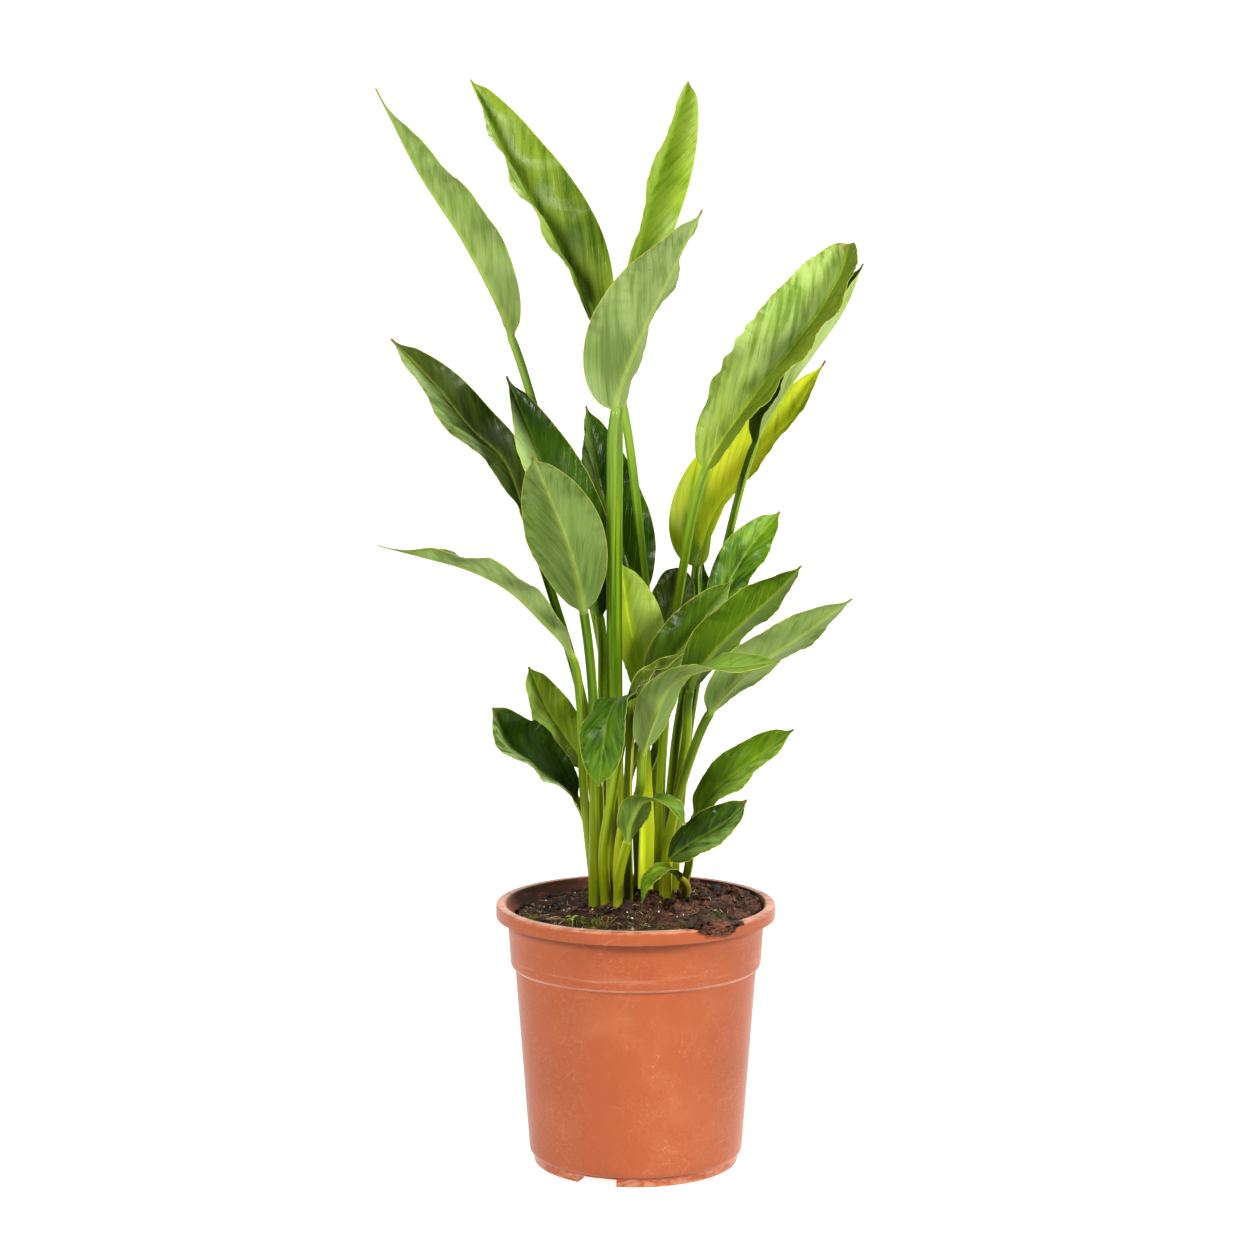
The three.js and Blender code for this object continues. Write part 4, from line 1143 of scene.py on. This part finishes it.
class LeafFinish(Finish):
    """A leaf's finish, with what was marked at each point and the noises its parts share."""

    def __init__(self, tone):
        super().__init__("leaf_" + tone)
        self.along, self.side, self.below = self.split(self.attribute("leaf"))
        self.vein, self.margin, self.rib = self.split(self.attribute("mark"))
        self.height, self.warm, self.light = self.split(self.attribute("look"))
        self.dry, self.sheath_yellow, self.seed = self.split(self.attribute("age"))
        self.grey, self.lit = self.split(self.attribute("bloom_and_sheen"))[:2]
        self.at = self.place()
        self.blade = self.along.rise(-0.01, 0.03)

        # veins run out from the midrib towards the margin, so a noise is drawn out along them
        vein, rib, side, seed = self.vein, self.rib, self.side, self.seed
        self.fine = self.noise(self.vector(vein * 0.9, rib * 0.03 + seed, side), 1.0, 3, 0.6)
        self.band = self.noise(self.vector(vein * 0.09, rib * 0.02 + seed, side * 2), 1.0, 2, 0.5)
        self.strand = self.noise(self.vector(self.height * 0.008, side * 1.5, seed), 1.0, 3, 0.5)
        self.cloud = self.noise(self.at, 14, 2, 0.5)
        self.blotch = self.noise(self.at, 75, 3, 0.6)
        wander = vein * (FULL_TURN / VEIN_STEP) + self.band * 5
        self.main_vein = wander.sine().rise(0.86, 1.0)
        # painted shade: a dark line beside each pale vein, for the blade's corrugation
        self.crease_shade = (wander + 0.9).sine().rise(0.88, 1.0)

    def clouds(self, cloud, band, low, high):
        """Broad soft patches from both slow noises."""
        return (self.cloud * cloud + self.band * band).rise(low, high)

    def tint(self, body, red, green, blue, share):
        return self.mix(body, colour(red, green, blue), share)


def blade_green(fin, top, low, base_shade):
    """The blade's colour: fine veins over broad patches, its bloom and painted sheen, and its painted
    lit and shaded halves.
    """
    below, rib, fine = fin.below, fin.rib, fin.fine
    green = fin.mix(top, low, below)
    pale_veins = fin.main_vein * fin.blotch.rise(0.3, 0.6) * (0.12 + below * 0.1)
    green = fin.tint(green, 184, 198, 110, pale_veins)
    green = fin.tint(green, 190, 204, 100, fine.rise(0.54, 0.76) * 0.08)
    green = fin.tint(green, 24, 44, 0, fine.rise(0.46, 0.3) * 0.08)
    green = fin.tint(green, 204, 194, 34, fin.warm.most(0) * fin.clouds(1, 0.5, 0.45, 1.05))
    green = fin.tint(green, 52, 60, 8, (0 - fin.warm).most(0) * 0.7)

    # grey bloom, in patches that are partly a painted sheen
    bloom_and_sheen = (fin.clouds(0.6, 0.5, 0.44, 0.66) * 0.5 + 0.35) * fin.grey
    green = fin.tint(green, 148, 165, 106, (bloom_and_sheen * (0.62 + below * 0.5)).least(0.8))
    # broad darker patches, partly tone and partly painted shade of the blade's curves
    green = fin.tint(green, 20, 40, 0, fin.clouds(0.5, 0.6, 0.52, 0.36) * (0.35 - below * 0.22))
    # painted shade: each blade darkens towards its base, less over the midrib
    shade_near_base = fin.along.rise(0.5, 0.05) * (1 - rib.rise(4, 0) * 0.4)
    green = fin.tint(green, 18, 40, 0, shade_near_base * base_shade)

    # one half of the blade stands more to the light than the other
    towards = rib.rise(0.2, 2.5)
    patch = fin.clouds(0.6, 0.5, 0.42, 0.64) * fin.along.rise(0.0, 0.7) + 0.2
    green = fin.tint(green, 166, 188, 122, (fin.lit.most(0) * towards * patch).least(0.8))
    green = fin.tint(green, 24, 48, 0, ((0 - fin.lit).most(0) * towards * 0.6).least(0.8))

    # painted shade beside the veins
    crease_shade_lines = fin.crease_shade * fin.noise(fin.at, 42, 2, 0.6).rise(0.42, 0.62) * rib.rise(1, 5)
    return fin.tint(green, 38, 62, 0, crease_shade_lines * (0.38 - below * 0.12))


def browning(fin):
    """How brown the margin and the tip are."""
    fray = fin.noise(fin.vector(fin.vein * 0.35, fin.seed, 0.0), 1.0, 4, 0.65)
    frayed_margin = fin.margin.rise(2.2, 0.2) * fray.rise(0.56, 0.68)
    tip = (fin.along + fray * 0.05).rise(0.985, 1.012)
    return frayed_margin.most(tip) * fin.dry * 1.5


def blade_lines(fin, green, brown):
    """The midrib, a thin pale line above and broader below, the thin margin, the dry tip."""
    width = 1.35 - fin.along * 0.8
    above_rib = fin.rib.rise(0.9, 0.3) * (1 - fin.below) * 0.2
    below_rib = (fin.rib / width).rise(1.5, 0.6) * fin.below * 0.34
    green = fin.tint(green, 176, 192, 84, above_rib.most(below_rib))
    line = fin.margin.rise(0.75, 0.2)
    green = fin.tint(green, 198, 190, 84, (line * (0.45 + fin.dry * 0.5)).least(1))
    green = fin.tint(green, 132, 92, 48, brown.least(0.95))
    return fin.tint(green, 142, 112, 50, fin.blotch.rise(0.715, 0.75) * fin.dry)


def stalk_green(fin, low, foot):
    """The stalk's colour: streaked, yellow and then dry towards its foot, with painted shade inside the
    clump.
    """
    height, strand = fin.height, fin.strand
    stalk = fin.mix(colour(58, 94, 0), colour(132, 162, 28), strand.rise(0.36, 0.64))
    stalk = fin.mix(stalk, low, 0.2)
    stalk = fin.tint(stalk, 150, 174, 96, height.rise(220, 430) * 0.5)
    stalk = fin.tint(stalk, 210, 214, 34, (foot * (0.5 + strand * 0.7)).least(1))
    seam = abs(fin.side).rise(0.72, 0.9) * height.rise(230, 60)
    stalk = fin.tint(stalk, 206, 196, 84, seam * strand.rise(0.36, 0.6) * 0.75)
    stalk = fin.tint(stalk, 134, 100, 52, height.rise(34, 4) * strand.rise(0.42, 0.62) * 0.6)
    rust = strand.rise(0.60, 0.70) * fin.cloud.rise(0.42, 0.6)
    stalk = fin.tint(stalk, 150, 96, 34, rust * (0.2 + fin.dry * 0.5))
    # painted shade: stalks that stand further back and lower in the clump are darkened
    depth = fin.split(fin.at)[1]
    clump_shade = depth.rise(-0.01, 0.03) * height.rise(330, 160)
    return fin.tint(stalk, 20, 42, 0, clump_shade * (1 - foot.least(1) * 0.8) * 0.62)


def leaf_finish(tone, upper, upper_light, under, under_light, gloss, base_shade):
    """A living leaf: parallel side veins, a pale midrib, thin yellow margins, a browner tip, and
    a stalk that turns yellow towards its foot."""
    fin = LeafFinish(tone)
    blade, below, light = fin.blade, fin.below, fin.light
    # broad lighter patches, partly tone and partly painted light on the blade's curves
    shade = fin.clouds(0.6, 0.45, 0.38, 0.68)
    top = fin.mix(colour(*upper), colour(*upper_light), shade)
    low = fin.mix(colour(*under), colour(*under_light), shade)
    foot = fin.height.rise(190, 12) * fin.sheath_yellow
    brown = browning(fin)
    green = blade_lines(fin, blade_green(fin, top, low, base_shade), brown)
    body = fin.mix(stalk_green(fin, low, foot), green, blade)
    # the leaf's lightness: partly its own tone, partly painted light on lit leaves and painted shade on
    # shaded ones
    body = fin.tint(body, 188, 214, 60, light.most(0))
    body = fin.tint(body, 24, 42, 0, (0 - light).most(0))

    # painted light: the young sheath and the yellower blades glow, as if lit through
    young_foot = (foot - 0.5).most(0) * 0.8 * (1 - blade)
    glow = young_foot.most(fin.warm.most(0) * 0.3 * blade).least(1)
    glowing = fin.mix(colour(0, 0, 0), body, glow)

    roughness = (gloss + below * 0.2) * blade + STALK_ROUGHNESS * (1 - blade)
    roughness = roughness + fin.fine * 0.08 + brown * 0.3
    ridge = (fin.vein * 4.6 + fin.fine * 2).sine()
    ribbed = (ridge * 0.06 + fin.fine * 0.3 + fin.main_vein * 0.4) * blade
    relief = ribbed + fin.strand * 0.9 * (1 - blade) + fin.blotch * 0.3
    return fin.done(Base_Color=body, Roughness=roughness.least(0.95), IOR=1.42,
                    Specular_IOR_Level=0.27, Subsurface_Weight=0.1,
                    Subsurface_Radius=(0.6, 1.0, 0.2), Subsurface_Scale=0.0012,
                    Emission_Color=glowing, Emission_Strength=0.55,
                    Normal=fin.bump(relief, 0.0003, 0.7))


TONES = {  # the upper side and its lighter patches, the underside and its, roughness, painted shade at the base; the lighter patches are partly painted light
    "deep": ((38, 66, 0), (76, 112, 0), (80, 106, 4), (108, 134, 22), 0.21, 0.4),
    "bright": ((60, 100, 0), (116, 154, 4), (92, 124, 10), (126, 154, 36), 0.26, 0.05),
    "pale": ((58, 96, 0), (96, 132, 6), (86, 114, 28), (117, 144, 58), 0.34, 0.2),
    "yellow": ((108, 144, 0), (156, 182, 20), (118, 150, 8), (154, 178, 36), 0.34, 0.25),
    "olive": ((50, 66, 0), (92, 110, 0), (78, 96, 6), (108, 122, 26), 0.3, 0.4),
    "mid": ((58, 96, 0), (98, 136, 2), (68, 100, 0), (100, 130, 14), 0.34, 0.5),
}

# ---- everything together ---------------------------------------------------------------------

build_pot()
build_soil()
FINISHES = {tone: leaf_finish(tone, *values) for tone, values in TONES.items()}
SEED_STEP = 7.3  # sets each leaf's noises apart from the next one's
for number, plant_leaf in enumerate(LEAVES):
    build_leaf(plant_leaf, FINISHES[plant_leaf.tone], number * SEED_STEP)

# ---- the stage, in metres: a white sweep, with lamps at the front left and right and behind -----

WHITE = (1.0, 1.0, 1.0, 1.0)
SWEEP_HALF, SWEEP_FRONT, SWEEP_BACK, SWEEP_ROUND, SWEEP_TOP = 1.6, -0.9, 1.0, 1.0, 1.8
SWEEP_COLOUR, SWEEP_GLOW = (0.35, 0.35, 0.35, 1.0), 0.74
ROOM_LIGHT, ROOM_SEEN = 0.14, 0.78  # the room as it lights the plant, and as it looks


def build_sweep():
    """The floor, which curves up into a wall behind."""
    line = [(SWEEP_FRONT, 0.0)]
    for a in np.linspace(0, math.pi / 2, 24):
        line.append((SWEEP_BACK + SWEEP_ROUND * math.sin(a), SWEEP_ROUND * (1 - math.cos(a))))
    line.append((SWEEP_BACK + SWEEP_ROUND, SWEEP_TOP))
    verts = [(x, y, z) for y, z in line for x in (-SWEEP_HALF, SWEEP_HALF)]
    faces = [(2 * i, 2 * i + 1, 2 * i + 3, 2 * i + 2) for i in range(len(line) - 1)]
    mesh = bpy.data.meshes.new("floor")
    mesh.from_pydata(verts, [], faces)
    mesh.shade_smooth()
    mesh.materials.append(Finish("white_sweep").done(
        Base_Color=SWEEP_COLOUR, Roughness=1.0, Emission_Color=WHITE, Emission_Strength=SWEEP_GLOW))
    return put_in_scene("floor", mesh)


floor = build_sweep()

scene = bpy.context.scene
scene.view_settings.view_transform = "Standard"
scene.view_settings.look = "Medium High Contrast"

# the room is pale to look at and lights the plant softly
scene.world = bpy.data.worlds.new("white_room")
room = Finish("white_room", scene.world)
seen = room.add("ShaderNodeLightPath", output="Is Camera Ray")
strength = seen * (ROOM_SEEN - ROOM_LIGHT) + ROOM_LIGHT
air = room.add("ShaderNodeBackground", None, {"Color": WHITE, "Strength": strength})
room.add_output(air, "ShaderNodeOutputWorld")

MIDDLE = Vector((0, 0, 0.42))
LAMPS = (  # where it hangs, how wide it is, its power
    ("key", (-1.4, -1.8, 1.6), 0.7, 58),
    ("fill", (1.8, -1.2, 1.3), 0.7, 52),
    ("back", (0.9, 1.3, 1.9), 0.8, 20))
for name, at, size, power in LAMPS:
    light = bpy.data.lights.new(name, "AREA")
    light.energy, light.size = power, size
    lamp = put_in_scene(name, light)
    lamp.location = at
    lamp.rotation_euler = (MIDDLE - Vector(at)).to_track_quat("-Z", "Y").to_euler()

CAMERA_AT, CAMERA_DOWN = (-0.0066, -2.186, 0.670), 6.9  # degrees below the level
LENS, SENSOR = 85, 36  # millimetres
lens = bpy.data.cameras.new("camera")
lens.lens, lens.sensor_width = LENS, SENSOR
camera = put_in_scene("camera", lens)
camera.location = CAMERA_AT
camera.rotation_euler = (math.radians(90 - CAMERA_DOWN), 0, 0)
scene.camera = camera
